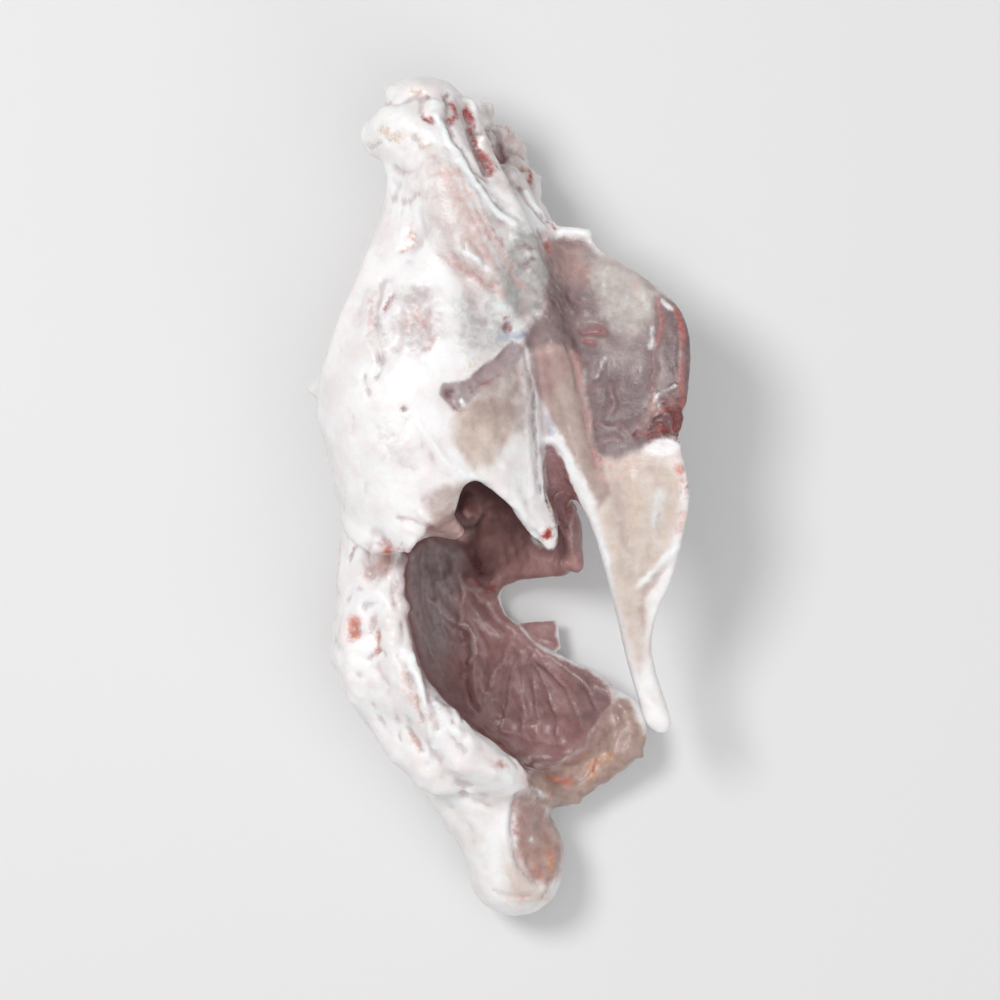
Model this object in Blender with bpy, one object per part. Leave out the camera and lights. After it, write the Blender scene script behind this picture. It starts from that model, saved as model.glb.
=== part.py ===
"""A raw chicken carcass lying on its left side, neck end towards +Y, breast keel towards +X.

The wings, legs and breast meat are off. What is left is one piece: the rib cage with the
breastbone and its keel, the shoulder bones, the spine, the hip bones laid open, and the tail.
All sizes below are millimetres, and the mesh is in metres with the table at z = 0.
"""

import math

import bmesh
import bpy
import numpy as np
from mathutils import Matrix, Vector
from mathutils.bvhtree import BVHTree

MM = 0.001

# Overall make of the solid
VOXEL = 1.25
BLEND = 2.0
SMOOTH_ROUNDS = 3
MOST_TRIANGLES = 11600
FLAT_REST_DEPTH = 1.2

# Rib cage: an egg-shaped tube rolled towards the breast side.
# Each station is y, centre x, centre z, half of its back-to-breast depth, half of its width.
CAGE_ROLL = math.radians(20)
CAGE_STATIONS = (
    (94, -15.5, 32, 12, 23),
    (82, -15.6, 32.5, 16, 26.5),
    (65, -13.6, 34.2, 24.7, 32),
    (50, -14.5, 35.8, 30, 36),
    (29, -18, 36.4, 33, 38),
    (14, -16, 36.2, 32, 38),
    (0, -14, 35.6, 31, 36),
    (-12, -13.5, 35, 31, 34),
    (-30, -15, 33.5, 30, 31),
)
CAGE_EGG = 0.24
# The y of the rear rim at angles round the section: 0 is the spine, 90 the near side, 180 the breastbone.
# The two long prongs of the breastbone stand out of the rim on each side of 180.
CAGE_RIM = (
    (0, -20),
    (30, 0),
    (45, -2),
    (60, -5),
    (75, -6.5),
    (92, -7.5),
    (103, -6.5),
    (112, -4),
    (119, 5),
    (126, 5),
    (137, 0),
    (150, -7),
    (160, -12.5),
    (166, -14.5),
    (171, -11),
    (175, 6),
    (179, 14),
    (183, -4),
    (188, -17),
    (194, -19),
    (215, -22),
    (240, -23),
    (275, -26),
    (330, -26),
)
CAGE_WALL = 3.8
FAR_FLARE = 4.2
FAR_FLARE_DEGREES = 206
FAR_FLARE_SPREAD = 30
SPINE_WALL = 8.0

# Ribs: where each starts at the spine, and how far it slants towards the tail on its way to the breastbone
RIB_COUNT = 6
RIB_FIRST_Y = 68
RIB_PITCH = 13.5
RIB_SLANT = 15
RIB_RADIUS = 2.7
RIB_LIFT = -1.9


def smoothstep(t):
    t = min(1.0, max(0.0, t))
    return t * t * (3 - 2 * t)


def spline(points, t):
    """Point at t, from 0 to 1, on a smooth curve through the points."""
    points = np.asarray(points, float)
    place = min(1.0, max(0.0, t)) * (len(points) - 1)
    i = min(int(place), len(points) - 2)
    f = place - i
    before = points[i - 1] if i > 0 else 2 * points[i] - points[i + 1]
    after = points[i + 2] if i + 2 < len(points) else 2 * points[i + 1] - points[i]
    a, b = points[i], points[i + 1]
    return 0.5 * (
        2 * a
        + (b - before) * f
        + (2 * before - 5 * a + 4 * b - after) * f * f
        + (3 * a - before - 3 * b + after) * f * f * f
    )


def station_at(stations, key):
    """The row of a table at a value of its first column, smoothly between the rows."""
    rows = np.asarray(sorted(stations), float)
    keys = rows[:, 0]
    key = min(keys[-1], max(keys[0], key))
    i = min(int(np.searchsorted(keys, key, side="right")) - 1, len(rows) - 2)
    t = (i + (key - keys[i]) / (keys[i + 1] - keys[i])) / (len(rows) - 1)
    return spline(rows, t)


def round_table(table, degrees):
    """A value from a table of (degrees, value) that goes right round."""
    angles = [a for a, _ in table] + [table[0][0] + 360]
    values = [v for _, v in table] + [table[0][1]]
    degrees %= 360
    i = max(k for k in range(len(table)) if angles[k] <= degrees)
    f = smoothstep((degrees - angles[i]) / (angles[i + 1] - angles[i]))
    return values[i] + (values[i + 1] - values[i]) * f


def cage_point(y, degrees, lift=0.0):
    """A point on the rib cage's outer surface, or lift outside it. The far flank flares out at its rear rim."""
    _, x, z, depth, width = station_at(CAGE_STATIONS, y)
    off_flare = (degrees % 360 - FAR_FLARE_DEGREES) / FAR_FLARE_SPREAD
    lift += FAR_FLARE * smoothstep((6 - y) / 14) * math.exp(-off_flare * off_flare)
    angle = math.radians(degrees)
    towards_breast = -math.cos(angle) * (depth + lift)
    taper = 1 - CAGE_EGG * ((1 - math.cos(angle)) / 2) ** 1.5
    towards_near = math.sin(angle) * (width * taper + lift)
    cos, sin = math.cos(CAGE_ROLL), math.sin(CAGE_ROLL)
    return np.array((x + towards_breast * cos - towards_near * sin, y, z + towards_breast * sin + towards_near * cos))


def new_mesh_object(name, bm):
    mesh = bpy.data.meshes.new(name)
    bmesh.ops.recalc_face_normals(bm, faces=bm.faces)
    bm.to_mesh(mesh)
    bm.free()
    obj = bpy.data.objects.new(name, mesh)
    bpy.context.scene.collection.objects.link(obj)
    return obj


def walled_sheet(name, grid, walls, closed):
    """A solid sheet: grid holds its outer points row by row, and walls its thickness at each point.

    closed says that each row goes right round and meets itself.
    """
    grid = np.asarray(grid, float)
    walls = np.asarray(walls, float)
    along = np.gradient(grid, axis=0)
    if closed:
        across = np.roll(grid, -1, axis=1) - np.roll(grid, 1, axis=1)
    else:
        across = np.gradient(grid, axis=1)
    normals = np.cross(across, along)
    normals /= np.maximum(np.linalg.norm(normals, axis=2, keepdims=True), 1e-9)
    inner = grid - normals * walls[..., None]
    rows, columns = grid.shape[:2]
    bm = bmesh.new()
    outer_verts = [[bm.verts.new(p * MM) for p in row] for row in grid]
    inner_verts = [[bm.verts.new(p * MM) for p in row] for row in inner]
    for r in range(rows - 1):
        for c in range(columns if closed else columns - 1):
            d = (c + 1) % columns
            for side in (outer_verts, inner_verts):
                bm.faces.new((side[r][c], side[r][d], side[r + 1][d], side[r + 1][c]))
    for c in range(columns if closed else columns - 1):
        d = (c + 1) % columns
        for r in (0, rows - 1):
            bm.faces.new((outer_verts[r][c], outer_verts[r][d], inner_verts[r][d], inner_verts[r][c]))
    if not closed:
        for r in range(rows - 1):
            for c in (0, columns - 1):
                bm.faces.new((outer_verts[r][c], outer_verts[r + 1][c], inner_verts[r + 1][c], inner_verts[r][c]))
    return new_mesh_object(name, bm)


def tube(name, points, radii, flat=1.0, up=(0, 0, 1), sides=12):
    """A closed tube along a smooth line, with a radius at each of its points.

    flat shrinks the section in the up direction, to make a strap.
    """
    count = 6 * len(points)
    line = np.array([spline(points, i / (count - 1)) for i in range(count)])
    size = np.array([spline([(r,) for r in radii], i / (count - 1))[0] for i in range(count)])
    tangents = np.gradient(line, axis=0)
    tangents /= np.linalg.norm(tangents, axis=1, keepdims=True)
    line = np.vstack((line[0] - tangents[0] * size[0] * 0.6, line, line[-1] + tangents[-1] * size[-1] * 0.6))
    size = np.concatenate(([size[0] * 0.5], size, [size[-1] * 0.5]))
    tangents = np.vstack((tangents[0], tangents, tangents[-1]))
    bm = bmesh.new()
    rings = []
    for centre, tangent, radius in zip(line, tangents, size):
        across = np.cross(tangent, up)
        across /= max(np.linalg.norm(across), 1e-9)
        over = np.cross(across, tangent)
        angles = [2 * math.pi * k / sides for k in range(sides)]
        ring = [centre + radius * (math.cos(a) * across + flat * math.sin(a) * over) for a in angles]
        rings.append([bm.verts.new(p * MM) for p in ring])
    for first, second in zip(rings, rings[1:]):
        for k in range(sides):
            m = (k + 1) % sides
            bm.faces.new((first[k], first[m], second[m], second[k]))
    bm.faces.new(rings[0])
    bm.faces.new(rings[-1])
    return new_mesh_object(name, bm)


def lump(name, centre, radii, turn=(0, 0, 0)):
    """An ellipsoid: radii in x, y and z before it is turned by the angles in degrees."""
    bm = bmesh.new()
    bmesh.ops.create_icosphere(bm, subdivisions=3, radius=1)
    spin = Matrix.Rotation(math.radians(turn[2]), 4, "Z")
    spin @= Matrix.Rotation(math.radians(turn[1]), 4, "Y")
    spin @= Matrix.Rotation(math.radians(turn[0]), 4, "X")
    place = Matrix.Translation(Vector(centre) * MM) @ spin @ Matrix.Diagonal((*(Vector(radii) * MM), 1))
    bmesh.ops.transform(bm, matrix=place, verts=bm.verts)
    return new_mesh_object(name, bm)


def rib_cage():
    rows, columns = 44, 160
    top = CAGE_STATIONS[0][0]
    grid, walls = [], []
    for r in range(rows):
        line, wall = [], []
        for c in range(columns):
            degrees = 360 - 360 * c / columns
            y = top + (round_table(CAGE_RIM, degrees) - top) * r / (rows - 1)
            line.append(cage_point(y, degrees))
            near_spine = math.exp(-((min(degrees, 360 - degrees) / 28) ** 2))
            wall.append(CAGE_WALL + (SPINE_WALL - CAGE_WALL) * near_spine)
        grid.append(line)
        walls.append(wall)
    return walled_sheet("rib_cage", grid, walls, closed=True)


def ribs():
    """Bars in the wall of both flanks, from the spine to the breastbone, each with a bend below its middle."""
    made = []
    for side in (1, -1):
        for i in range(RIB_COUNT):
            start = RIB_FIRST_Y - i * RIB_PITCH
            reach = 142 - 7 * i
            points = []
            for k in range(9):
                f = k / 8
                degrees = 14 + (reach - 14) * f
                drop = RIB_SLANT * math.sin(math.pi * min(1, f * 1.25) / 2) - 12 * smoothstep((f - 0.62) / 0.38)
                points.append(cage_point(start - drop, side * degrees % 360, RIB_LIFT))
            made.append(tube(f"rib_{side}_{i}", points, [RIB_RADIUS] * 9, sides=8))
    return made


# Breastbone: the wing on each side of the keel, laid on the cage's surface, with its long prong.
# Each row is y, and the angles round the section of the wing's two edges on the near side.
WING_ROWS = (
    (46, 150, 172),
    (32, 138, 173),
    (19, 130, 174),
    (7, 128, 174),
    (-3, 144, 173),
    (-11, 159, 170),
)
WING_WALL = 3.4
WING_LIFT = 1.2
OBLIQUE_ROOT = (41, 160)
OBLIQUE_TIP = (26, 120)


def breast_wings():
    made = []
    for side in (1, -1):
        reach = 1.0 if side == 1 else 1.3
        grid, walls = [], []
        for r in range(20):
            y, inner_edge, outer_edge = spline(WING_ROWS, r / 19)
            if y < 7:
                y = 7 + (y - 7) * reach
            steps = [inner_edge + (outer_edge - inner_edge) * c / 9 for c in range(10)]
            line = [cage_point(y, side * a % 360, WING_LIFT) for a in steps]
            grid.append(line[::-1] if side == 1 else line)
            walls.append([WING_WALL] * 10)
        made.append(walled_sheet(f"breast_wing_{side}", grid, walls, closed=False))
        points = []
        for k in range(5):
            f = k / 4
            y = OBLIQUE_ROOT[0] + (OBLIQUE_TIP[0] - OBLIQUE_ROOT[0]) * f
            degrees = OBLIQUE_ROOT[1] + (OBLIQUE_TIP[1] - OBLIQUE_ROOT[1]) * f
            points.append(cage_point(y, side * degrees % 360, -0.9))
        made.append(tube(f"oblique_{side}", points, (2.6, 2.4, 2.4, 2.8, 3.6)))
        tip_y, inner_edge, outer_edge = WING_ROWS[-1]
        tip = cage_point(7 + (tip_y - 7) * reach, side * (inner_edge + outer_edge) / 2 % 360, 0.2)
        made.append(lump(f"wing_tip_{side}", tip, (2.7, 4.6, 2.4), (0, 0, 14)))
    return made


# Keel: the blade down the middle of the breastbone. Each row is y, and x of its root edge and free edge.
KEEL_ROWS = (
    (75, 4, 15),
    (70, 4, 25),
    (63, 5, 36),
    (56, 6, 42),
    (50, 7, 49.5),
    (40, 8, 51.3),
    (28, 10, 49.6),
    (17, 12.5, 48.5),
    (10, 16.5, 50.6),
    (-2, 22.5, 51.5),
    (-12, 26.5, 49.3),
    (-22, 29, 47),
    (-31, 31.5, 43.2),
    (-40, 34, 41.4),
    (-48, 36.3, 42.3),
    (-55, 36.8, 44.6),
    (-61, 37.9, 47.3),
    (-65, 41.8, 46.2),
)
KEEL_ROLL = math.radians(13)
KEEL_FOOT_X = 14
KEEL_FOOT_Z = 49.5
KEEL_WALL = 3.2
KEEL_TIP_WALL = 4.4
KEEL_SAG = 10
KEEL_ROOT = ((1, 73), (8, 58), (14.5, 42), (18.3, 26), (22, 11), (28.5, -6), (33.5, -24), (37.8, -44), (42.3, -59))
KEEL_ROOT_RADII = (6, 6.2, 6.4, 6.2, 5.6, 4.8, 4.4, 3.9, 4.1)
KEEL_BEAD = ((24, 69), (36, 61.5), (46.5, 52), (49.5, 42), (48.8, 30), (47.2, 19))


def keel_height(x, y):
    """The height of the keel's middle plane: it rises outwards, and its tail end and its front sag."""
    rear = smoothstep((14 - y) / 80)
    front = smoothstep((y - 34) / 46)
    rise = math.tan(KEEL_ROLL) * (1 - 0.6 * rear) * (1 - 0.7 * front)
    return KEEL_FOOT_Z + (x - KEEL_FOOT_X) * rise - KEEL_SAG * rear - 7 * front


def keel():
    rows, columns = 56, 20
    grid, walls = [], []
    for r in range(rows):
        y, root_x, edge_x = spline(KEEL_ROWS, r / (rows - 1))
        wall = KEEL_WALL + (KEEL_TIP_WALL - KEEL_WALL) * smoothstep((-20 - y) / 25)
        steps = [edge_x + (root_x - edge_x) * c / (columns - 1) for c in range(columns)]
        grid.append([(x, y, keel_height(x, y) + wall / 2) for x in steps])
        walls.append([wall] * columns)
    blade = walled_sheet("keel_blade", grid, walls, closed=False)
    root = [(x, y, keel_height(x, y)) for x, y in KEEL_ROOT]
    bead = [(x, y, keel_height(x, y)) for x, y in KEEL_BEAD]
    return [
        blade,
        tube("keel_root", root, KEEL_ROOT_RADII, flat=0.86),
        tube("keel_bead", bead, (1.8, 2.2, 2.5, 2.5, 2.4, 2.2)),
    ]


def shoulders():
    """The coracoid bones that prop the breastbone, the shoulder blades and the stump of the neck."""
    return [
        tube("near_coracoid", ((-21, 104, 50), (-16, 88, 54), (-11, 72, 54.5), (-5, 56, 53.5), (0, 40, 51)), (9.5, 11, 12, 11, 7)),
        lump("near_shoulder", (-25, 101, 48), (12, 10.5, 12), (0, 10, -14)),
        lump("near_shoulder_cap", (-21.5, 110.5, 44), (10.5, 6.5, 11), (0, 0, -8)),
        lump("near_shoulder_side", (-33, 100.5, 42), (6, 6.5, 8), (0, 0, 6)),
        tube("ridge", ((-9, 104, 44), (-3, 90, 52), (3, 76, 55.5), (8.5, 62, 56), (12.5, 48, 54), (16.5, 34, 53), (20, 20, 52)), (3.6, 3.8, 4.2, 4.4, 4.6, 4.2, 2.5)),
        tube("breast_web", ((0, 90, 36), (5, 76, 44), (10, 60, 48), (14, 46, 49)), (5.5, 7, 7, 6)),
        tube("far_coracoid", ((-1.5, 98, 15), (4, 86, 24), (8, 74, 34), (12, 60, 43)), (7, 5.8, 7.2, 7)),
        lump("far_shoulder", (0, 97.8, 14.5), (6.6, 9, 14.5), (0, 0, 16)),
        lump("far_shoulder_knob", (4, 89, 23), (6, 7.5, 9), (0, 0, 25)),
        tube("near_blade", ((-27, 98, 48), (-27.5, 82, 47), (-34.5, 64, 52), (-42.5, 46, 54), (-48, 31, 47)), (7, 5.2, 4.6, 4.2, 3.2), flat=0.7),
        tube("far_blade", ((-2, 96, 14), (-12, 82, 9), (-18, 66, 5), (-20, 46, 3)), (7, 5.5, 4.5, 3), flat=0.7),
        lump("blade_tip", (-50, 31, 39), (3.6, 3.5, 4.4)),
        lump("neck_stump", (-26.5, 98, 28), (8, 9, 12), (0, 0, 14)),
        tube("spine", ((-26, 102, 27), (-26.5, 84, 24), (-34.8, 62, 24), (-41, 40, 25), (-42.8, 20, 27), (-37.6, 0, 27)), (7, 6, 5.1, 6.6, 7, 6.8)),
        tube("loin", ((-37.6, 0, 27), (-38, -20, 25), (-38.3, -40, 23), (-32, -59.5, 20), (-18.2, -75.5, 17), (-6, -90, 15)), (6.6, 7.3, 8.3, 7, 6.3, 8.4)),
        tube("wishbone_stub", ((12, 73, 42), (18, 74, 44), (24.5, 73.3, 46)), (2.6, 2.3, 1.5)),
    ]


# Hips: an open trough. Each line runs from the ribs to the tail: the near rim, two lines over the back
# and the far rim, which has fallen open on to the table.
NEAR_RIM = ((-28, 4, 52), (-30, -15, 48), (-28.7, -31.5, 49), (-24.8, -48.3, 51), (-14.8, -61.6, 48), (-3.8, -71.4, 43), (4.5, -78.8, 35))
NEAR_FLANK = ((-42.2, 6, 41), (-43.3, -14, 38), (-44.2, -33, 41), (-42.6, -48.5, 42), (-33, -61.5, 40), (-21.5, -71.5, 35), (-10.5, -82.5, 28))
BACK_LINE = ((-43, 4, 24), (-44.2, -16, 24), (-46, -36, 25), (-43.6, -51, 24), (-35.4, -64.8, 23), (-23.2, -76.5, 21), (-13.5, -88.5, 17))
BELLY_LINE = ((-29, 0, 5), (-30, -20, 4), (-29, -38, 2), (-25, -54, 1), (-17, -68, 1), (-8, -80, 1), (2, -90, 3))
FAR_WALL = ((-14, 0, 1), (-14, -22, 1), (-11, -38, 1), (2, -52, 2), (12, -66, 2), (13.5, -75, 2), (9.5, -82, 3))
FAR_RIM = ((-3, 0, 3), (-1.5, -23, 4), (6, -36, 7), (28.5, -48.8, 13), (36.6, -61.5, 15), (34, -71, 14), (18.5, -80.8, 9))
HIP_WALLS = (6.5, 10.0, 11.5, 8.0, 4.6, 4.0)


def hips():
    rails = (NEAR_RIM, NEAR_FLANK, BACK_LINE, BELLY_LINE, FAR_WALL, FAR_RIM)
    rows, columns = 40, 48
    grid, walls = [], []
    for r in range(rows):
        across = [spline(rail, r / (rows - 1)) for rail in rails]
        grid.append([spline(across, c / (columns - 1)) for c in range(columns)])
        walls.append([spline([(w,) for w in HIP_WALLS], c / (columns - 1))[0] for c in range(columns)])
    return walled_sheet("hips", grid, walls, closed=False)


def hip_details():
    """The thick fleshy edges, the meat round the hip joint and the tail."""
    far_edge = ((32, -54, 13), (35.8, -59, 14.5), (36, -66.5, 15), (28.6, -73.6, 13.5), (17.2, -80.6, 11), (8, -82, 11))
    return [
        tube("near_edge", [(x - 1.5, y, z - 3) for x, y, z in NEAR_RIM], (4, 4, 4.2, 4.8, 5.2, 5.6, 6)),
        lump("hip_flesh", (-37, -40, 36), (9, 19, 12), (0, -20, -4)),
        lump("hip_knob", (-42.4, -42.5, 34), (5, 6.5, 7), (0, 0, 0)),
        lump("rump_flesh", (-24.2, -64.6, 33), (9.4, 19, 11), (0, -24, 42)),
        tube("far_edge", far_edge, (2.0, 4.0, 4.9, 5.0, 5.2, 5.5), flat=0.95),
        tube("tail_root", ((-10.5, -75.5, 22), (-2, -88, 20), (2.8, -99, 18)), (13, 13.4, 13.2)),
        lump("tail_end", (3.5, -103.5, 16.5), (13.5, 13, 14.5), (0, 0, -20)),
        lump("tail_side", (9.2, -97.8, 15), (8.4, 11.5, 12), (0, 0, 10)),
        lump("tail_bridge", (6, -82, 20), (9, 8, 12), (0, 0, 0)),
    ]


def scraps_along(name, line, count, sizes, stray, seed):
    """Small lumps of meat and fat strung along a line, in a seeded draw."""
    draw = np.random.default_rng(seed)
    made = []
    for i in range(count):
        centre = spline(line, (i + 0.5) / count) + draw.normal(0, stray, 3)
        made.append(lump(f"{name}_{i}", centre, draw.uniform(*sizes, 3), draw.uniform(0, 180, 3)))
    return made


def flesh_scraps():
    neck = ((-30, 92, 42), (-27, 110, 46), (-14, 112, 44), (-3, 104.5, 31), (4.4, 93, 22), (9, 80, 32))
    waist = ((-31, -11, 45), (-38, -18, 38), (-34.5, -26, 44), (-40, -30, 34), (-31, -40, 46))
    rim = ((-11, -7.5, 54), (-17.5, -7, 60), (-27, -8, 58), (-36, -8, 48))
    loin = ((-34, -50, 44), (-24, -58, 46), (-14, -66, 44), (-3, -76, 38))
    return (
        scraps_along("neck_scrap", neck, 12, (2.8, 4.8), 1.5, 7)
        + scraps_along("waist_scrap", waist, 8, (3.0, 5.0), 1.2, 11)
        + scraps_along("rim_scrap", rim, 5, (2.6, 4.0), 0.8, 5)
        + scraps_along("loin_scrap", loin, 6, (3.5, 5.5), 1.0, 3)
    )


def apply_modifier(body, kind, **settings):
    modifier = body.modifiers.new(kind.lower(), kind)
    for name, value in settings.items():
        setattr(modifier, name, value)
    bpy.ops.object.modifier_apply(modifier=modifier.name)


def fuse(pieces):
    """All pieces as one closed skin. It is swelled before the join and shrunk after it, which fills the creases."""
    for obj in bpy.context.scene.objects:
        obj.select_set(obj in pieces)
    bpy.context.view_layer.objects.active = pieces[0]
    bpy.ops.object.join()
    body = bpy.context.view_layer.objects.active
    body.name = body.data.name = "carcass"
    apply_modifier(body, "DISPLACE", strength=BLEND * MM, mid_level=0.0)
    apply_modifier(body, "REMESH", mode="VOXEL", voxel_size=VOXEL * MM)
    apply_modifier(body, "SMOOTH", factor=0.5, iterations=2)
    apply_modifier(body, "DISPLACE", strength=-BLEND * MM, mid_level=0.0)
    apply_modifier(body, "REMESH", mode="VOXEL", voxel_size=VOXEL * MM)
    apply_modifier(body, "SMOOTH", factor=0.5, iterations=SMOOTH_ROUNDS)
    keep_largest_body(body)
    return body


def keep_largest_body(body):
    """Drops loose scraps and the skins of sealed hollows."""
    bm = bmesh.new()
    bm.from_mesh(body.data)
    left = set(bm.verts)
    islands = []
    while left:
        found = {left.pop()}
        edge = list(found)
        while edge:
            near = [e.other_vert(v) for v in edge for e in v.link_edges]
            edge = list({v for v in near if v in left})
            left.difference_update(edge)
            found.update(edge)
        islands.append(found)
    islands.sort(key=len)
    bmesh.ops.delete(bm, geom=[v for island in islands[:-1] for v in island], context="VERTS")
    bm.to_mesh(body.data)
    bm.free()


# Relief seen from above: each line is its depth (a groove is positive, a ridge negative), its half width,
# and its points as x, y.
GROOVES = (
    (1.1, 1.9, ((2.5, 42), (-4, 36), (-12, 28))),
    (1.7, 2.6, ((-12.5, 27.5), (-13.5, 26.5))),
    (1.7, 1.6, ((9, 43), (11, 30), (12.5, 17))),
    (1.8, 2.2, ((1.5, 46.5), (2.5, 45.5))),
    (1.5, 2.6, ((-14, 66), (-9, 58), (-5, 49))),
    (1.2, 3.0, ((-24, 84), (-22, 74), (-26, 66))),
    (1.3, 2.6, ((-32, 60), (-28, 50), (-31, 40))),
    (1.2, 2.6, ((-22, 58), (-20, 49), (-22, 42))),
    (1.2, 2.0, ((22, 46.5), (26, 46.5))),
    (1.6, 3.0, ((-39, -36), (-40.5, -35))),
    (1.5, 2.4, ((-31, -14), (-34, -18), (-30, -24))),
    (-1.4, 1.8, ((-19, -22), (-13, -30), (-8, -42))),
    (-1.6, 2.6, ((-7, -18), (0, -28), (5, -38))),
    (1.2, 2.2, ((-12, -36), (-8, -48), (-2, -58))),
    (-1.2, 1.8, ((3, -40), (10, -52), (20, -61))),
    (-1.2, 1.8, ((2, -42), (4, -54), (10, -66))),
    (-1.0, 1.6, ((6, -40), (18, -50), (28, -54))),
    (2.2, 5.0, ((11, -84), (11.5, -91), (9.5, -98))),
)


def carve(body, grooves):
    """Presses grooves and raises ridges along lines on whatever skin faces up there."""
    bm = bmesh.new()
    bm.from_mesh(body.data)
    bm.normal_update()
    tree = BVHTree.FromBMesh(bm)
    co = np.array([v.co for v in bm.verts])
    normals = np.array([v.normal for v in bm.verts])
    moved = np.zeros(len(co))
    for depth, width, line in grooves:
        length = sum(math.dist(a, b) for a, b in zip(line, line[1:]))
        steps = 2 + int(length / 0.8)
        for i in range(steps):
            x, y = spline(line, i / (steps - 1))
            hit, face_normal, _, _ = tree.ray_cast(Vector((x * MM, y * MM, 1.0)), Vector((0, 0, -1)))
            if hit is None:
                continue
            distance = np.linalg.norm(co - np.array(hit), axis=1) / (width * MM)
            facing = normals @ np.array(face_normal) > 0.2
            push = -depth * np.exp(-(distance**2)) * facing
            moved = np.where(np.abs(push) > np.abs(moved), push, moved)
    co += normals * moved[:, None] * MM
    for vert, place in zip(bm.verts, co):
        vert.co = place
    bm.to_mesh(body.data)
    bm.free()


def settle(body):
    """Sets the carcass on the table: what would sink below it is pressed flat, and the box is centred."""
    co = np.empty(len(body.data.vertices) * 3)
    body.data.vertices.foreach_get("co", co)
    co = co.reshape(-1, 3)
    floor = co[:, 2].min() + FLAT_REST_DEPTH * MM
    co[:, 2] = np.maximum(co[:, 2] - floor, 0)
    middle = (co.min(0) + co.max(0)) / 2
    co[:, :2] -= middle[:2]
    body.data.vertices.foreach_set("co", co.ravel())
    body.data.update()


def thin_out(body):
    body.data.calc_loop_triangles()
    ratio = min(1.0, MOST_TRIANGLES / len(body.data.loop_triangles))
    apply_modifier(body, "DECIMATE", ratio=ratio, use_collapse_triangulate=True)
    for vert in body.data.vertices:
        if vert.co.z < 0.05 * MM:
            vert.co.z = 0.0


def raw_flesh():
    material = bpy.data.materials.new("raw_flesh")
    material.use_nodes = True
    shader = material.node_tree.nodes["Principled BSDF"]
    shader.inputs["Base Color"].default_value = (0.78, 0.66, 0.60, 1)
    shader.inputs["Roughness"].default_value = 0.35
    shader.inputs["Metallic"].default_value = 0.0
    return material


def main():
    for obj in list(bpy.data.objects):
        bpy.data.objects.remove(obj, do_unlink=True)
    pieces = [rib_cage(), hips()]
    pieces += ribs() + breast_wings() + keel() + shoulders() + hip_details() + flesh_scraps()
    body = fuse(pieces)
    carve(body, GROOVES)
    settle(body)
    thin_out(body)
    body.data.materials.clear()
    body.data.materials.append(raw_flesh())
    body.data.shade_smooth()


main()
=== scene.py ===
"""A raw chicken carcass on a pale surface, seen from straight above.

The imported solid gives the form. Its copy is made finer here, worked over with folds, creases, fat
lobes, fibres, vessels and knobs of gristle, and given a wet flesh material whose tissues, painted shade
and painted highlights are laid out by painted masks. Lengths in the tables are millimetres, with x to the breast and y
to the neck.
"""

import math
import random

import bmesh
import bpy
import numpy as np
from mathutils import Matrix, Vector, noise
from mathutils.bvhtree import BVHTree


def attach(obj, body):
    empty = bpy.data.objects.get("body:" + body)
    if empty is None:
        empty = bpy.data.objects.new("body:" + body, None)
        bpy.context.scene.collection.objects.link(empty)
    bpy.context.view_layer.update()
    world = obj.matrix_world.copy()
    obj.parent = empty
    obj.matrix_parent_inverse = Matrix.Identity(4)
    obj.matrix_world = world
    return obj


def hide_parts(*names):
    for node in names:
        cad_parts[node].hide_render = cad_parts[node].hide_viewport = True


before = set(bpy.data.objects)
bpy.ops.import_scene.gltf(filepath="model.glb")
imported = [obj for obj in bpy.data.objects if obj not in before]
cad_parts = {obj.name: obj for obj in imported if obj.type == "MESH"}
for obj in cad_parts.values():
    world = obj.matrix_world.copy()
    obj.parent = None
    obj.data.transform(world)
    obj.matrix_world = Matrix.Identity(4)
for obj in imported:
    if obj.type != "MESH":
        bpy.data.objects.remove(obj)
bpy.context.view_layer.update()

MM = 0.001

# Skin mesh
SKIN_VOXEL = 0.72
SKIN_TRIANGLES = 196000
SOFT_ROUNDS = 3

# In place of a height: the point lies on the outline seen from above
EDGE = math.nan

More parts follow.
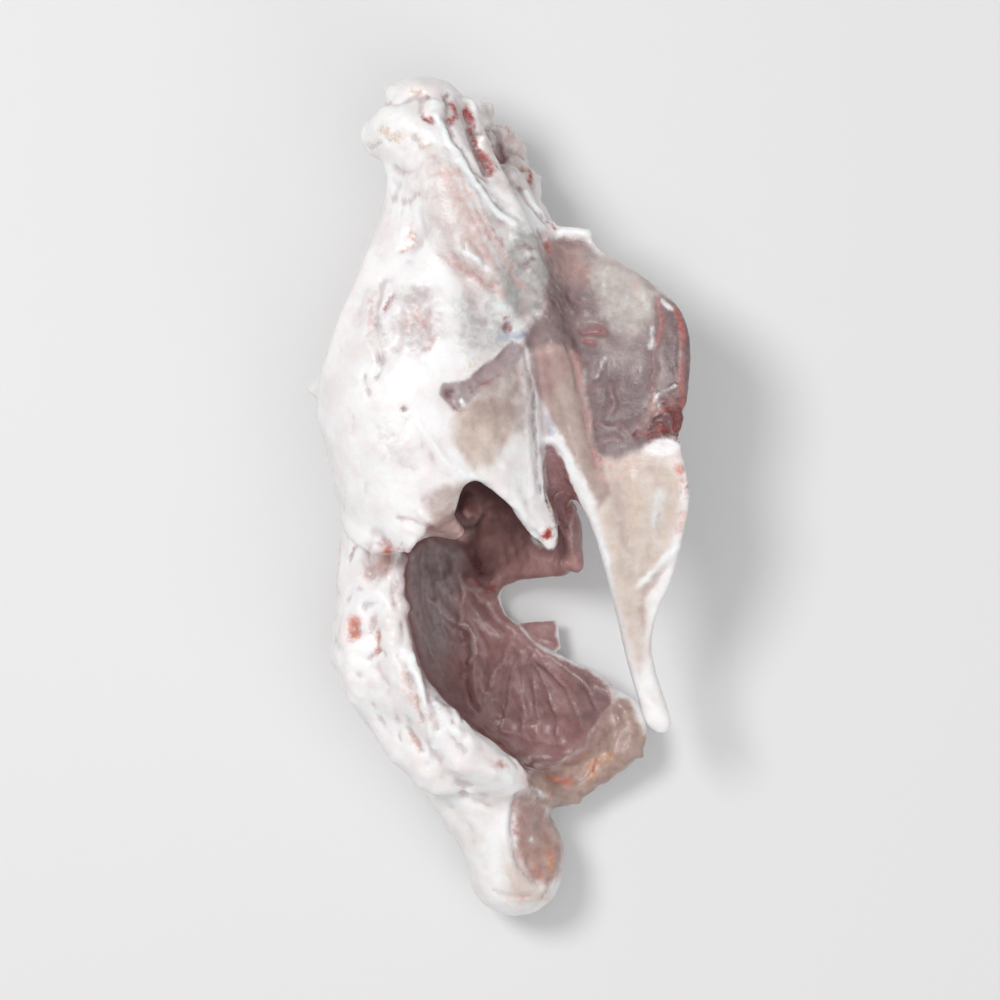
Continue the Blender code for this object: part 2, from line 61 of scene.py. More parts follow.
# Relief: height (raised is positive), half width, and the line or spot it follows.
# Points of two numbers are dropped on to the skin from above. Points of three go to the nearest skin.
RELIEF = (
    # Neck end: the hollow between the shoulders, and the knobs round it
    (-1.5, 1.1, ((-14.5, 110), (-14, 104), (-12.5, 99), (-10, 95), (-7.5, 91), (-3, 87.5))),
    (1.3, 2.3, ((-18.5, 108),)),
    (-1.0, 0.8, ((-22, 111.5), (-21.4, 107.5), (-20, 104.2), (-18, 103.2))),
    (-1.4, 1.3, ((-14.8, 111.3),)),
    (0.9, 1.4, ((-12.5, 107.5),)),
    (-2.2, 1.9, ((-8, 101), (-6.4, 97), (-5.3, 94), (-2.8, 90))),
    (2.0, 2.4, ((-4, 104.4),)),
    (1.6, 1.3, ((-5, 99.4),)),
    (1.6, 1.3, ((-2.6, 99),)),
    (1.5, 2.2, ((1.4, 103),)),
    (1.6, 2.2, ((4.4, 99),)),
    (2.0, 1.6, ((3, 94.6),)),
    (2.1, 2.2, ((3.2, 88.8),)),
    (-2.0, 1.0, ((-0.6, 107), (-0.6, 102), (-0.2, 96.5), (0.4, 92))),
    (-1.8, 0.9, ((0.5, 97), (4, 96.8), (7, 95.5))),
    (-1.9, 0.9, ((0, 91.8), (4, 91.6), (7, 92.5))),
    (-1.8, 0.9, ((-6.5, 101.8), (-3.5, 101.4), (-0.5, 101.8))),
    (1.0, 1.2, ((-17, 105), (-14.6, 99.5), (-11.4, 94), (-8, 88.5), (-4.8, 84), (-1.2, 79.5), (3.6, 75.8))),
    (-0.9, 0.8, ((-9.6, 93.5), (-6.6, 88), (-3.4, 83.2), (0.5, 79), (5, 76.8))),
    (-1.1, 0.9, ((6.4, 69.6), (9.2, 68.4))),
    (-1.1, 0.9, ((6.6, 63.8), (9.8, 66.4))),
    (0.8, 1.1, ((4.5, 71.5), (8, 71), (10.5, 69.5))),
    (1.3, 1.1, ((17.4, 74), (20.6, 74), (24, 73.6))),
    (-1.6, 1.0, ((17.4, 71.4), (20.4, 70.6), (23, 70.4))),
    (-1.2, 0.9, ((5.4, 86), (8.6, 81), (12.6, 76.6))),
    (0.9, 0.9, ((-10, 110), (-8, 109.4), (-6.8, 107.6))),
    (0.8, 0.7, ((-6, 85.6), (-4.6, 84.4))),
    (0.8, 0.8, ((-3.2, 83.4), (-1.8, 82))),
    (-1.6, 1.5, ((-4, 91.6),)),
    (-1.0, 1.0, ((-9, 105.6), (-7.8, 102.6))),
    (1.1, 0.8, ((6.8, 85), (9.8, 80.8), (14.2, 76.3))),
    (-0.8, 1.2, ((10.8, 73.5), (12.6, 69.8), (14.5, 66))),
    (-0.6, 1.2, ((-24.2, 73), (-22.4, 70.2), (-26.8, 68))),
    (-1.0, 1.2, ((-38, 96), (-34, 97.4), (-30.5, 98.6), (-27, 99.6), (-24, 98.8))),
    (-0.9, 1.0, ((-34, 101.5), (-31, 98.5))),
    (-1.0, 1.3, ((-31.5, 109.6), (-28, 108.6), (-23.5, 110.4), (-20.5, 110.6))),
    (0.8, 2.6, ((-26, 104.5),)),
    (0.7, 2.4, ((-20.5, 100),)),
    (-0.7, 1.0, ((-23.5, 99), (-21, 96.5), (-19, 97.5))),
    (-0.6, 1.3, ((-29, 91), (-25.5, 89), (-21, 91.5))),
    (-0.5, 1.2, ((-30.5, 84), (-26, 81.5), (-22.5, 83.5))),
    # The muscle on the near shoulder bone, in long bundles
    (-0.55, 0.9, ((-18.5, 94), (-12.5, 84), (-7.5, 73), (-3, 62))),
    (-0.5, 0.8, ((-14, 90), (-9, 80), (-4, 70), (1, 60.5))),
    (0.5, 1.4, ((-16, 92), (-10.8, 82), (-5.8, 71.5), (-1, 61))),
    (-0.5, 1.0, ((-17, 75), (-13.5, 68), (-7.5, 61.5), (-2, 57))),
    (0.6, 1.5, ((-11, 69), (-6.5, 65.5), (-2, 61.5))),
    (-0.7, 1.3, ((-16, 66), (-10.5, 62), (-5, 58.8), (-1, 56.5))),
    # Near flank
    (-1.0, 1.1, ((-32.4, 59), (-33.8, 50), (-33.2, 43), (-32, 38), (-34, 34))),
    (0.7, 1.6, ((-35.3, 56), (-36.4, 48), (-35.6, 41))),
    (0.9, 2.6, ((-27.6, 52.3),)),
    (0.7, 2.2, ((-29.3, 45.5),)),
    (-0.9, 1.0, ((-29.3, 55.4), (-31, 52))),
    (0.8, 1.5, ((-21.4, 52.2), (-18.6, 54))),
    (-0.7, 1.5, ((-24.2, 57.5), (-23.2, 50), (-24.4, 43))),
    (-0.5, 1.2, ((-19.5, 47.5), (-18.6, 42.5), (-21.5, 40))),
    (0.5, 1.2, ((-17.5, 56), (-15, 53.6))),
    (-0.5, 1.0, ((-28.5, 41), (-24, 39.4), (-20, 37.5))),
    (-0.8, 0.9, ((-37.2, 33.6), (-36, 29))),
    (-0.9, 0.9, ((-26, 24.5),)),
    (-0.4, 1.6, ((-33, 20.5), (-31, 17), (-27.5, 18.4), (-25.5, 21.4))),
    (-0.4, 1.3, ((-31, 15), (-28.5, 11), (-24, 8.5))),
    (-0.35, 1.8, ((-41, 24), (-38, 12), (-37, 2))),
    (-0.5, 1.2, ((-23, 17.5), (-18, 10), (-14, 6.4))),
    (0.75, 0.9, ((-21.8, 20.5), (-17, 13.2), (-12.5, 8.6), (-9.2, 6.8))),
    # The hole and the groove below the breastbone's wing root
    (-1.7, 1.2, ((2, 46.9),)),
    (0.6, 1.1, ((-0.6, 48.4), (2.6, 49.8), (4.6, 47.6))),
    (0.5, 1.0, ((1, 44.6), (3.6, 44.8))),
    (-0.8, 1.5, ((5.6, 42), (0, 37.4), (-5, 33.4), (-9.6, 30.2))),
    (0.6, 0.9, ((3.2, 43.6), (-2.4, 38.8), (-8, 34.4))),
    (0.6, 0.8, ((3.4, 37.4), (-1, 33.6), (-6, 30))),
    (-1.8, 1.7, ((-13.8, 28.8),)),
    (-0.9, 1.2, ((-12, 25.8), (-10, 24.6))),
    (1.1, 1.0, ((-10.6, 27),)),
    (0.7, 0.9, ((-8.4, 30.8), (-6.8, 32))),
    # Fan of the breastbone and its long prong
    (-0.6, 0.8, ((6.5, 41), (8, 36), (8.8, 30), (9.5, 20), (10, 10), (11, 2))),
    (0.5, 1.0, ((6.6, 33), (7.4, 24), (8, 12), (9, 2))),
    (-0.45, 1.0, ((3.8, 36.5), (4.8, 31.5), (3.4, 26))),
    (-0.35, 1.3, ((-2, 27), (0.5, 20), (1, 12))),
    (-0.35, 1.2, ((-8, 21), (-4.5, 14), (-0.5, 8.5))),
    (0.35, 1.6, ((-5, 24), (-2, 17), (2, 9))),
    (-0.4, 0.9, ((-12, 16), (-8.5, 11.5), (-3, 5.5))),
    (0.45, 0.7, ((-7, 6.6), (0, 1.6), (5, -3.2), (8.2, -8.4), (10.8, -11.8))),
    (-0.4, 1.1, ((6, 2), (8.6, -3), (11, -8))),
    (0.7, 1.6, ((13, -9.6),)),
    (-1.2, 0.9, ((13.6, -10),)),
    (-3.4, 2.4, ((13.6, 12.6), (14.6, 8), (16, 3), (17.6, -2), (18.6, -6))),
    # Breast keel: the strip at its root, the thin plate, and the torn front edge
    (-0.7, 1.0, ((18.5, 43), (20.5, 38), (21.8, 31), (23, 24), (24.4, 16), (26, 9))),
    (0.45, 1.6, ((13.5, 40), (15.5, 32), (17.5, 24), (20.5, 14), (24, 3))),
    (-0.35, 1.3, ((11.5, 38), (13, 30), (14.6, 22))),
    (-0.6, 1.0, ((14, 57.5), (15.5, 53.5), (14.6, 51))),
    (-1.0, 0.9, ((19.6, 56), (21.8, 53.6))),
    (-1.3, 0.9, ((22.4, 46), (25, 46.7), (28, 46))),
    (0.7, 0.9, ((22, 48.2), (25.4, 48.9), (28.6, 47.8))),
    (-0.8, 0.8, ((23, 43.6), (25.4, 43.4))),
    (0.5, 0.8, ((22.4, 44.8), (25.4, 45), (28.4, 44.4))),
    (0.18, 1.6, ((29.6, 65), (28.6, 58), (27.8, 50.5))),
    (0.4, 1.2, ((28, 38), (26.4, 33.6))),
    (0.35, 2.2, ((34.4, 55.6),)),
    (-0.2, 1.8, ((33, 50), (32, 43), (33.4, 37), (33, 30))),
    (-0.6, 0.9, ((30.4, 31.4), (30.8, 27.4), (30.2, 24.6))),
    (0.15, 2.0, ((38, 52), (38.4, 42), (38, 33))),
    (-1.0, 0.8, ((43, 56), (43.8, 50), (43.2, 44), (42, 41), (41.9, 35), (41.6, 30))),
    (0.3, 1.0, ((41.6, 54.5), (41.9, 49), (41.6, 44))),
    (0.2, 1.2, ((45.5, 51), (45, 44), (45.4, 37), (46, 32.4))),
    (-0.3, 0.9, ((47.2, 50), (46.8, 44), (47.4, 38), (47.6, 33))),
    (0.6, 0.7, ((42, 27), (43.6, 28.8), (45.6, 29.8), (47.6, 31.2))),
    (0.8, 0.7, ((41, 25), (42.6, 25.6), (44.8, 27.6))),
    (-2.4, 1.9, ((45.6, 21.6),)),
    (-1.6, 1.2, ((50.4, 24),)),
    (-1.4, 1.5, ((47.4, 18.6), (49.8, 17.6), (50.8, 20.5))),
    (0.9, 0.8, ((42.4, 22.5), (44, 25), (47.4, 25.4), (49.6, 23))),
    (0.8, 0.9, ((36, 18), (40, 17), (43.4, 17.8), (46, 16), (49.6, 15.6))),
    (-0.9, 0.8, ((35.8, 17.6), (37.2, 20), (39.4, 19.4))),
    (-0.6, 0.8, ((27, 20.8), (30, 19.8), (33, 20.4), (34.5, 18.8))),
    (0.6, 0.7, ((30.6, 21.4), (34, 22), (37.4, 23.2))),
    (-0.5, 0.9, ((26, 15), (29, 16.4), (32.6, 16.4))),
    (-0.7, 1.0, ((50, 13), (50.4, 6), (49, 0))),
    (-0.45, 1.6, ((32, 4), (33.6, -8), (35.6, -22), (37.6, -38))),
    (0.4, 1.4, ((36.4, 6), (37.4, -6), (38.2, -18))),
    (-0.4, 1.6, ((42, 8), (43.4, -1), (43.6, -9))),
    (0.7, 1.2, ((38.2, -23.4), (42, -19.6), (45.6, -16), (48.6, -12.8))),
    (-0.7, 1.3, ((40.6, -25), (43.6, -21), (46, -18))),
    (-0.4, 1.2, ((39, -30), (39.8, -40), (40.4, -50))),
    (0.7, 2.8, ((43.6, -60),)),
    (-0.5, 1.1, ((39.4, -52.6), (42, -54.4), (45.2, -56))),
    # Rear rim of the rib cage
    (-0.9, 0.9, ((-27.4, -4.8), (-23.5, -6), (-20, -7.8), (-16.6, -9.2))),
    (0.7, 1.2, ((-25.5, -7.6), (-21.5, -9.4))),
    (0.8, 1.2, ((-21.2, -4.6), (-17.6, -7))),
    (-0.5, 1.6, ((-20.5, 0), (-15, 2.5), (-11, 4.5))),
    (-2.0, 2.4, ((-30.2, -12),)),
    (-1.4, 1.9, ((-30.8, -15), (-32, -18.5), (-35.6, -20.5))),
    (1.0, 1.4, ((-34, -12.4), (-35, -16.4))),
    (4.4, 2.9, ((-9, -2.6),)),
    (-1.2, 1.0, ((-12.2, -4.8), (-10.6, -6.4), (-7.2, -6.2), (-5, -3.6))),
    (0.8, 1.6, ((-12.6, -6.4), (-10.6, -8.6))),
    (-2.0, 1.6, ((-9.4, -12), (-7.6, -16.6), (-5, -20.4))),
    (1.4, 1.3, ((-5.2, -22), (-2.8, -23.6), (-1.6, -21.8))),
    (-1.0, 0.9, ((-8.6, -23.6), (-5, -25.2), (-2.4, -26))),
    (1.0, 1.0, ((-9, -21.4), (-7.2, -23))),
    # Hips: the cord along the near rim, the joint socket, folds of fat
    (1.5, 1.15, ((-23.4, -11), (-26.4, -15.4), (-27.6, -21), (-27.2, -27), (-25.2, -32), (-23.8, -35))),
    (-1.2, 0.9, ((-27, -12.4), (-29.2, -17.4), (-29.8, -22.4), (-29, -28.4))),
    (1.1, 2.1, ((-24.4, -37.2),)),
    (0.9, 1.7, ((-25.2, -41.4),)),
    (-1.0, 0.9, ((-26.8, -34), (-27, -38.4), (-27.6, -43))),
    (-0.6, 2.2, ((-40.3, -36),)),
    (0.45, 1.8, ((-43, -38.4), (-43.4, -34.4), (-41.8, -31.6), (-39.2, -31.4), (-37.2, -33.8), (-37.2, -37.6), (-39.4, -40))),
    (-0.9, 0.8, ((-41.7, -16.6), (-39.4, -12.8))),
    (-0.5, 1.3, ((-32.8, -29.6), (-34.4, -33), (-36.2, -36))),
    (-0.6, 0.9, ((-33.6, -36), (-33.5, -40.6))),
    (-0.7, 1.0, ((-36, -43.8), (-33, -41.2), (-31.4, -42.4))),
    (-0.5, 1.4, ((-35, -23.4), (-39, -24.6), (-42.4, -27.4))),
    (-0.5, 1.2, ((-31.4, -24.4), (-33.4, -27.4), (-37.4, -29.4))),
    (0.9, 2.2, ((-34.4, -26),)),
    (0.8, 2.4, ((-39.4, -21.4),)),
    (0.9, 2.2, ((-30.2, -33.4),)),
    (0.8, 2.0, ((-30, -39.6),)),
    (-0.5, 1.4, ((-45.6, -39), (-43.6, -43.4), (-44.6, -48))),
    (-0.4, 1.6, ((-40.6, -42), (-38.4, -46.4), (-40, -52))),
    (0.8, 2.6, ((-35, -49),)),
    (1.2, 1.0, ((-24, -43), (-22.2, -49), (-20.8, -55), (-19.8, -61), (-18.4, -67.4))),
    (-0.9, 1.0, ((-26, -45), (-24.4, -50.4), (-22.8, -56.4), (-21.8, -61.4))),
    (-0.7, 1.0, ((-19.6, -53), (-18.2, -58), (-17, -63))),
    (0.7, 1.6, ((-27, -47), (-26, -52.6))),
    (-0.8, 0.9, ((-25.6, -63), (-23.8, -66), (-21.7, -69.4))),
    (-0.6, 1.1, ((-30.4, -55), (-28.4, -60.4), (-28, -66))),
    (-0.5, 1.4, ((-34.8, -57), (-31.4, -64), (-26.4, -71))),
    (-1.1, 0.9, ((-13, -61),)),
    (-0.9, 0.9, ((-9.1, -65.6),)),
    (0.8, 1.2, ((-15.4, -57.4), (-11.6, -60))),
    (0.9, 1.4, ((-11.2, -63.6), (-7.6, -66.6))),
    (-0.7, 1.0, ((-16.4, -60.4), (-13.4, -64.8), (-9.4, -69))),
    (-0.6, 1.2, ((-4.6, -68.4), (-1, -72), (2.4, -74.4))),
    (0.7, 1.5, ((-1.4, -75), (3.4, -77.4))),
    (2.8, 5.4, ((-19, -77), (-9, -79.4))),
    (0.8, 0.9, ((-17.4, -56), (-12, -58.8), (-6, -63.2), (0, -68.2), (4.8, -73), (7.2, -76.6))),
    # Inside of the hips: vessel, ridges, radiating fibres
    (1.5, 0.75, ((-21, -26.8), (-18, -30), (-15.2, -32.6), (-12, -34.6), (-9, -36), (-7, -38.8), (-7, -42.6), (-8.8, -45.8))),
    (1.0, 1.0, ((-12.4, -18.6), (-11.4, -22.6), (-10.2, -27), (-10.8, -33))),
    (1.2, 1.7, ((-23.4, -13), (-25, -21), (-24.4, -29), (-22, -37), (-19.4, -44))),
    (-1.1, 0.8, ((-22, -14), (-22.4, -22), (-21.6, -30), (-19.6, -37))),
    (0.8, 0.7, ((-18.2, -28), (-17, -33), (-15.2, -38), (-13.6, -43))),
    (-0.9, 1.2, ((-17, -31), (-14, -37), (-13.6, -43))),
    (0.8, 0.8, ((-15.6, -13.4), (-13.6, -17), (-13.4, -21))),
    (-0.9, 1.0, ((-20, -12.6), (-20.4, -20), (-19.4, -27.4))),
    (-0.8, 1.2, ((-16.2, -14.6), (-14.8, -18.4), (-16.4, -21.6), (-13.6, -24.4))),
    (0.8, 1.0, ((-17.4, -16.6), (-17.2, -20), (-15, -23))),
    (-1.4, 1.7, ((-10.6, -37.4), (-8.8, -39.4))),
    (-1.8, 2.6, ((-9.6, -45), (-10.6, -51), (-9, -57.6))),
    (0.9, 1.1, ((-7.4, -46), (-7.6, -52), (-5.4, -58))),
    (-0.9, 1.2, ((-4.6, -40), (-3.4, -44.4), (-5, -48))),
    (0.7, 1.0, ((-8.8, -23), (-5, -28.6), (0.4, -34), (5.8, -37.4))),
    (-0.6, 1.0, ((-9, -28.4), (-4.4, -33.4), (1.4, -38.4))),
    (0.6, 0.9, ((-9.4, -30.6), (-7, -34.6), (-3, -39.4))),
    (0.8, 0.9, ((3.4, -38.4), (1.6, -43.4), (-1.4, -49), (-4, -56))),
    (0.7, 0.8, ((5.6, -43), (3.4, -50), (2.4, -58), (0.6, -64))),
    (0.8, 0.8, ((6.6, -42.4), (6.4, -50), (6.8, -58), (6.4, -66))),
    (0.7, 0.8, ((8, -45.4), (9.8, -53), (10.4, -60), (10.8, -67))),
    (0.8, 0.8, ((8.8, -44.6), (13, -51.4), (15.6, -59), (16.4, -66))),
    (0.7, 0.8, ((9.6, -43.8), (16, -49.4), (20.4, -56), (22.4, -63))),
    (0.7, 0.9, ((10.4, -41.8), (18, -46.4), (24.4, -52), (27.4, -58.4))),
    (0.7, 1.0, ((9.4, -38.6), (18, -43), (26, -48.6), (31, -53.6))),
    (0.6, 0.8, ((0.4, -65), (6, -66.4), (12, -68.6), (18, -68.4))),
    (-0.6, 1.0, ((-2.4, -60), (4.4, -62.4), (12, -63.4), (20, -61))),
    (0.8, 1.0, ((30.4, -50.6), (31.8, -53), (31.4, -56.4))),
    # Inside of the far flank
    (0.9, 1.0, ((20.4, -2), (19.6, -7), (19.6, -12), (20.6, -17))),
    (0.7, 1.0, ((7.4, -13.4), (9.4, -16), (13.6, -17), (19.4, -17.6))),
    (-0.7, 1.5, ((9.6, -9.4), (12, -13.4), (16.8, -13.8))),
    (0.6, 1.2, ((-4.8, -9), (-1, -13), (0.8, -18.4))),
    (-0.6, 1.2, ((-2, -5), (2.4, -9.6), (4.4, -16))),
    # Fallen far hip: its thick pale edge
    (0.9, 0.9, ((10.2, -74.4), (14.4, -75.8), (20.6, -75))),
    (-0.9, 1.2, ((13, -77.4), (16, -78.4), (19.4, -77.6))),
    (1.0, 1.0, ((7.4, -79.4), (10.4, -81), (13.8, -83.4))),
    (0.7, 1.8, ((17.6, -82),)),
    (0.8, 2.2, ((23.6, -73.6),)),
    (-0.9, 1.1, ((22, -78.6), (24.8, -76), (26.6, -72.8))),
    (-0.8, 1.0, ((28, -74.4), (30.4, -72))),
    (0.7, 2.4, ((31.4, -66),)),
    (0.7, 2.2, ((36, -70),)),
    (-0.7, 1.2, ((33, -60), (35.4, -64.4), (34.6, -69))),
    (-0.6, 1.2, ((28.6, -65), (30, -70))),
    (0.6, 1.8, ((35.4, -59),)),
    # Tail: the mauve underside folds away from the white skin
    (-1.2, 1.1, ((5, -82), (3.4, -87), (3.2, -92.6), (4.4, -98.6), (7.4, -104.4), (11, -107.4))),
    (0.6, 1.3, ((2, -86), (1.2, -92), (2, -99), (5, -106))),
    (-0.9, 1.0, ((7.6, -101), (9, -103), (10.8, -105), (12.4, -102.4))),
    (0.8, 1.8, ((9.8, -95.4),)),
    (-0.8, 1.1, ((6.2, -88.4), (8, -90.4), (11.6, -90.6))),
    (0.8, 1.8, ((14, -99.8),)),
    (-0.7, 0.9, ((-1.4, -109), (3, -110.6), (8.4, -110.2))),
    (-0.8, 0.8, ((10.8, -112), (12.4, -109.6), (14.6, -106.4))),
    (-0.4, 1.2, ((-4.6, -94.4), (-3.2, -98), (-4, -101.6))),
    (-0.45, 1.5, ((-13, -86), (-9, -90), (-7.4, -95))),
    (-0.4, 1.6, ((-8, -82), (-3, -84.4), (1, -83.6))),
    # Notches, lobes and points of the outline, from the neck down the back and up the breast side
    (2.2, 1.5, ((-33.4, 115, EDGE),)),
    (-1.2, 1.3, ((-34, 110.4, EDGE),)),
    (0.6, 2.2, ((-41, 103.5, EDGE), (-41.4, 98.5, EDGE))),
    (0.7, 1.1, ((-36, 81.6, EDGE),)),
    (0.9, 1.3, ((-38.4, 73.8, EDGE),)),
    (-0.7, 1.2, ((-36.4, 77.6, EDGE),)),
    (-0.6, 1.2, ((-34.6, 88.6, EDGE),)),
    (1.3, 1.2, ((-54.6, 30.6, EDGE),)),
    (-1.3, 1.3, ((-53.6, 26.4, EDGE),)),
    (-1.4, 1.4, ((-48.4, 6.6, EDGE),)),
    (0.6, 1.4, ((-47.6, 2.4, EDGE),)),
    (-0.9, 1.6, ((-49.6, -32, EDGE), (-49.4, -26, EDGE))),
    (0.8, 1.8, ((-49.8, -41, EDGE), (-49.6, -46, EDGE))),
    (-0.9, 1.4, ((-45, -55.5, EDGE),)),
    (0.9, 1.4, ((-32, -74.4, EDGE),)),
    (-0.7, 1.3, ((-28, -79.6, EDGE),)),
    (0.7, 1.2, ((-24.4, -84.4, EDGE),)),
    (0.7, 1.3, ((-17.6, -93.8, EDGE),)),
    (-2.4, 1.9, ((17.6, -89, EDGE),)),
    (1.2, 1.1, ((43.4, -73.6, EDGE),)),
    (-0.7, 1.2, ((29, -82, EDGE),)),
    (0.8, 1.2, ((23, -87, EDGE),)),
    (-1.3, 1.0, ((-6, 110, EDGE),)),
    (0.9, 1.2, ((-2.8, 109, EDGE),)),
    (-1.0, 1.2, ((5, 104, EDGE),)),
    (0.7, 1.2, ((8.6, 98.4, EDGE),)),
    (-0.9, 1.0, ((10, 94, EDGE),)),
    (0.6, 1.1, ((12.4, 90.6, EDGE),)),
    (-0.6, 1.2, ((13.8, 84, EDGE),)),
    # Spine and ribs on the sides that face away from the camera
    (1.0, 2.2, ((-47, 40, 22), (-46, 24, 22), (-43, 8, 24), (-44, -8, 24), (-46, -24, 24))),
    (-0.8, 1.6, ((-40, 60, 14), (-37, 40, 10), (-34, 20, 8), (-32, 0, 6))),
    (0.8, 1.6, ((-30, 50, 4), (-14, 46, 3), (0, 40, 8), (9, 33, 18))),
    (0.8, 1.6, ((-30, 34, 4), (-14, 29, 2), (0, 24, 8), (9, 18, 18))),
    (0.8, 1.6, ((-29, 18, 4), (-14, 13, 1), (0, 9, 8), (9, 4, 18))),
    (-0.8, 1.6, ((-42, -44, 12), (-34, -58, 10), (-24, -72, 8), (-12, -86, 6))),
)

# Noise relief: bump size and height; the sculpting holds most of them to the fat and hollow masks
FAT_LOBE = 7.5
FAT_LOBE_HEIGHT = 0.32
WRINKLE = 9.0
WRINKLE_HEIGHT = 0.32
SWELL = 15.0
SWELL_HEIGHT = 0.7
PIMPLE = 2.4
PIMPLE_HEIGHT = 0.1

FAR_HIP_EDGE = (
    (33, -55.5), (36, -56), (41.5, -67), (43, -72), (34, -78), (24, -85), (17, -88), (12, -86), (8, -81), (7.5, -77.4),
    (10, -74.2), (17, -73.4), (24, -69), (27, -62.5), (30, -58.5),
)
SHOULDER_MUSCLE = ((-20, 96), (-15, 97), (-8, 84), (0, 72), (6, 60), (3, 52), (-6, 56), (-14, 62), (-20, 72), (-22, 84))
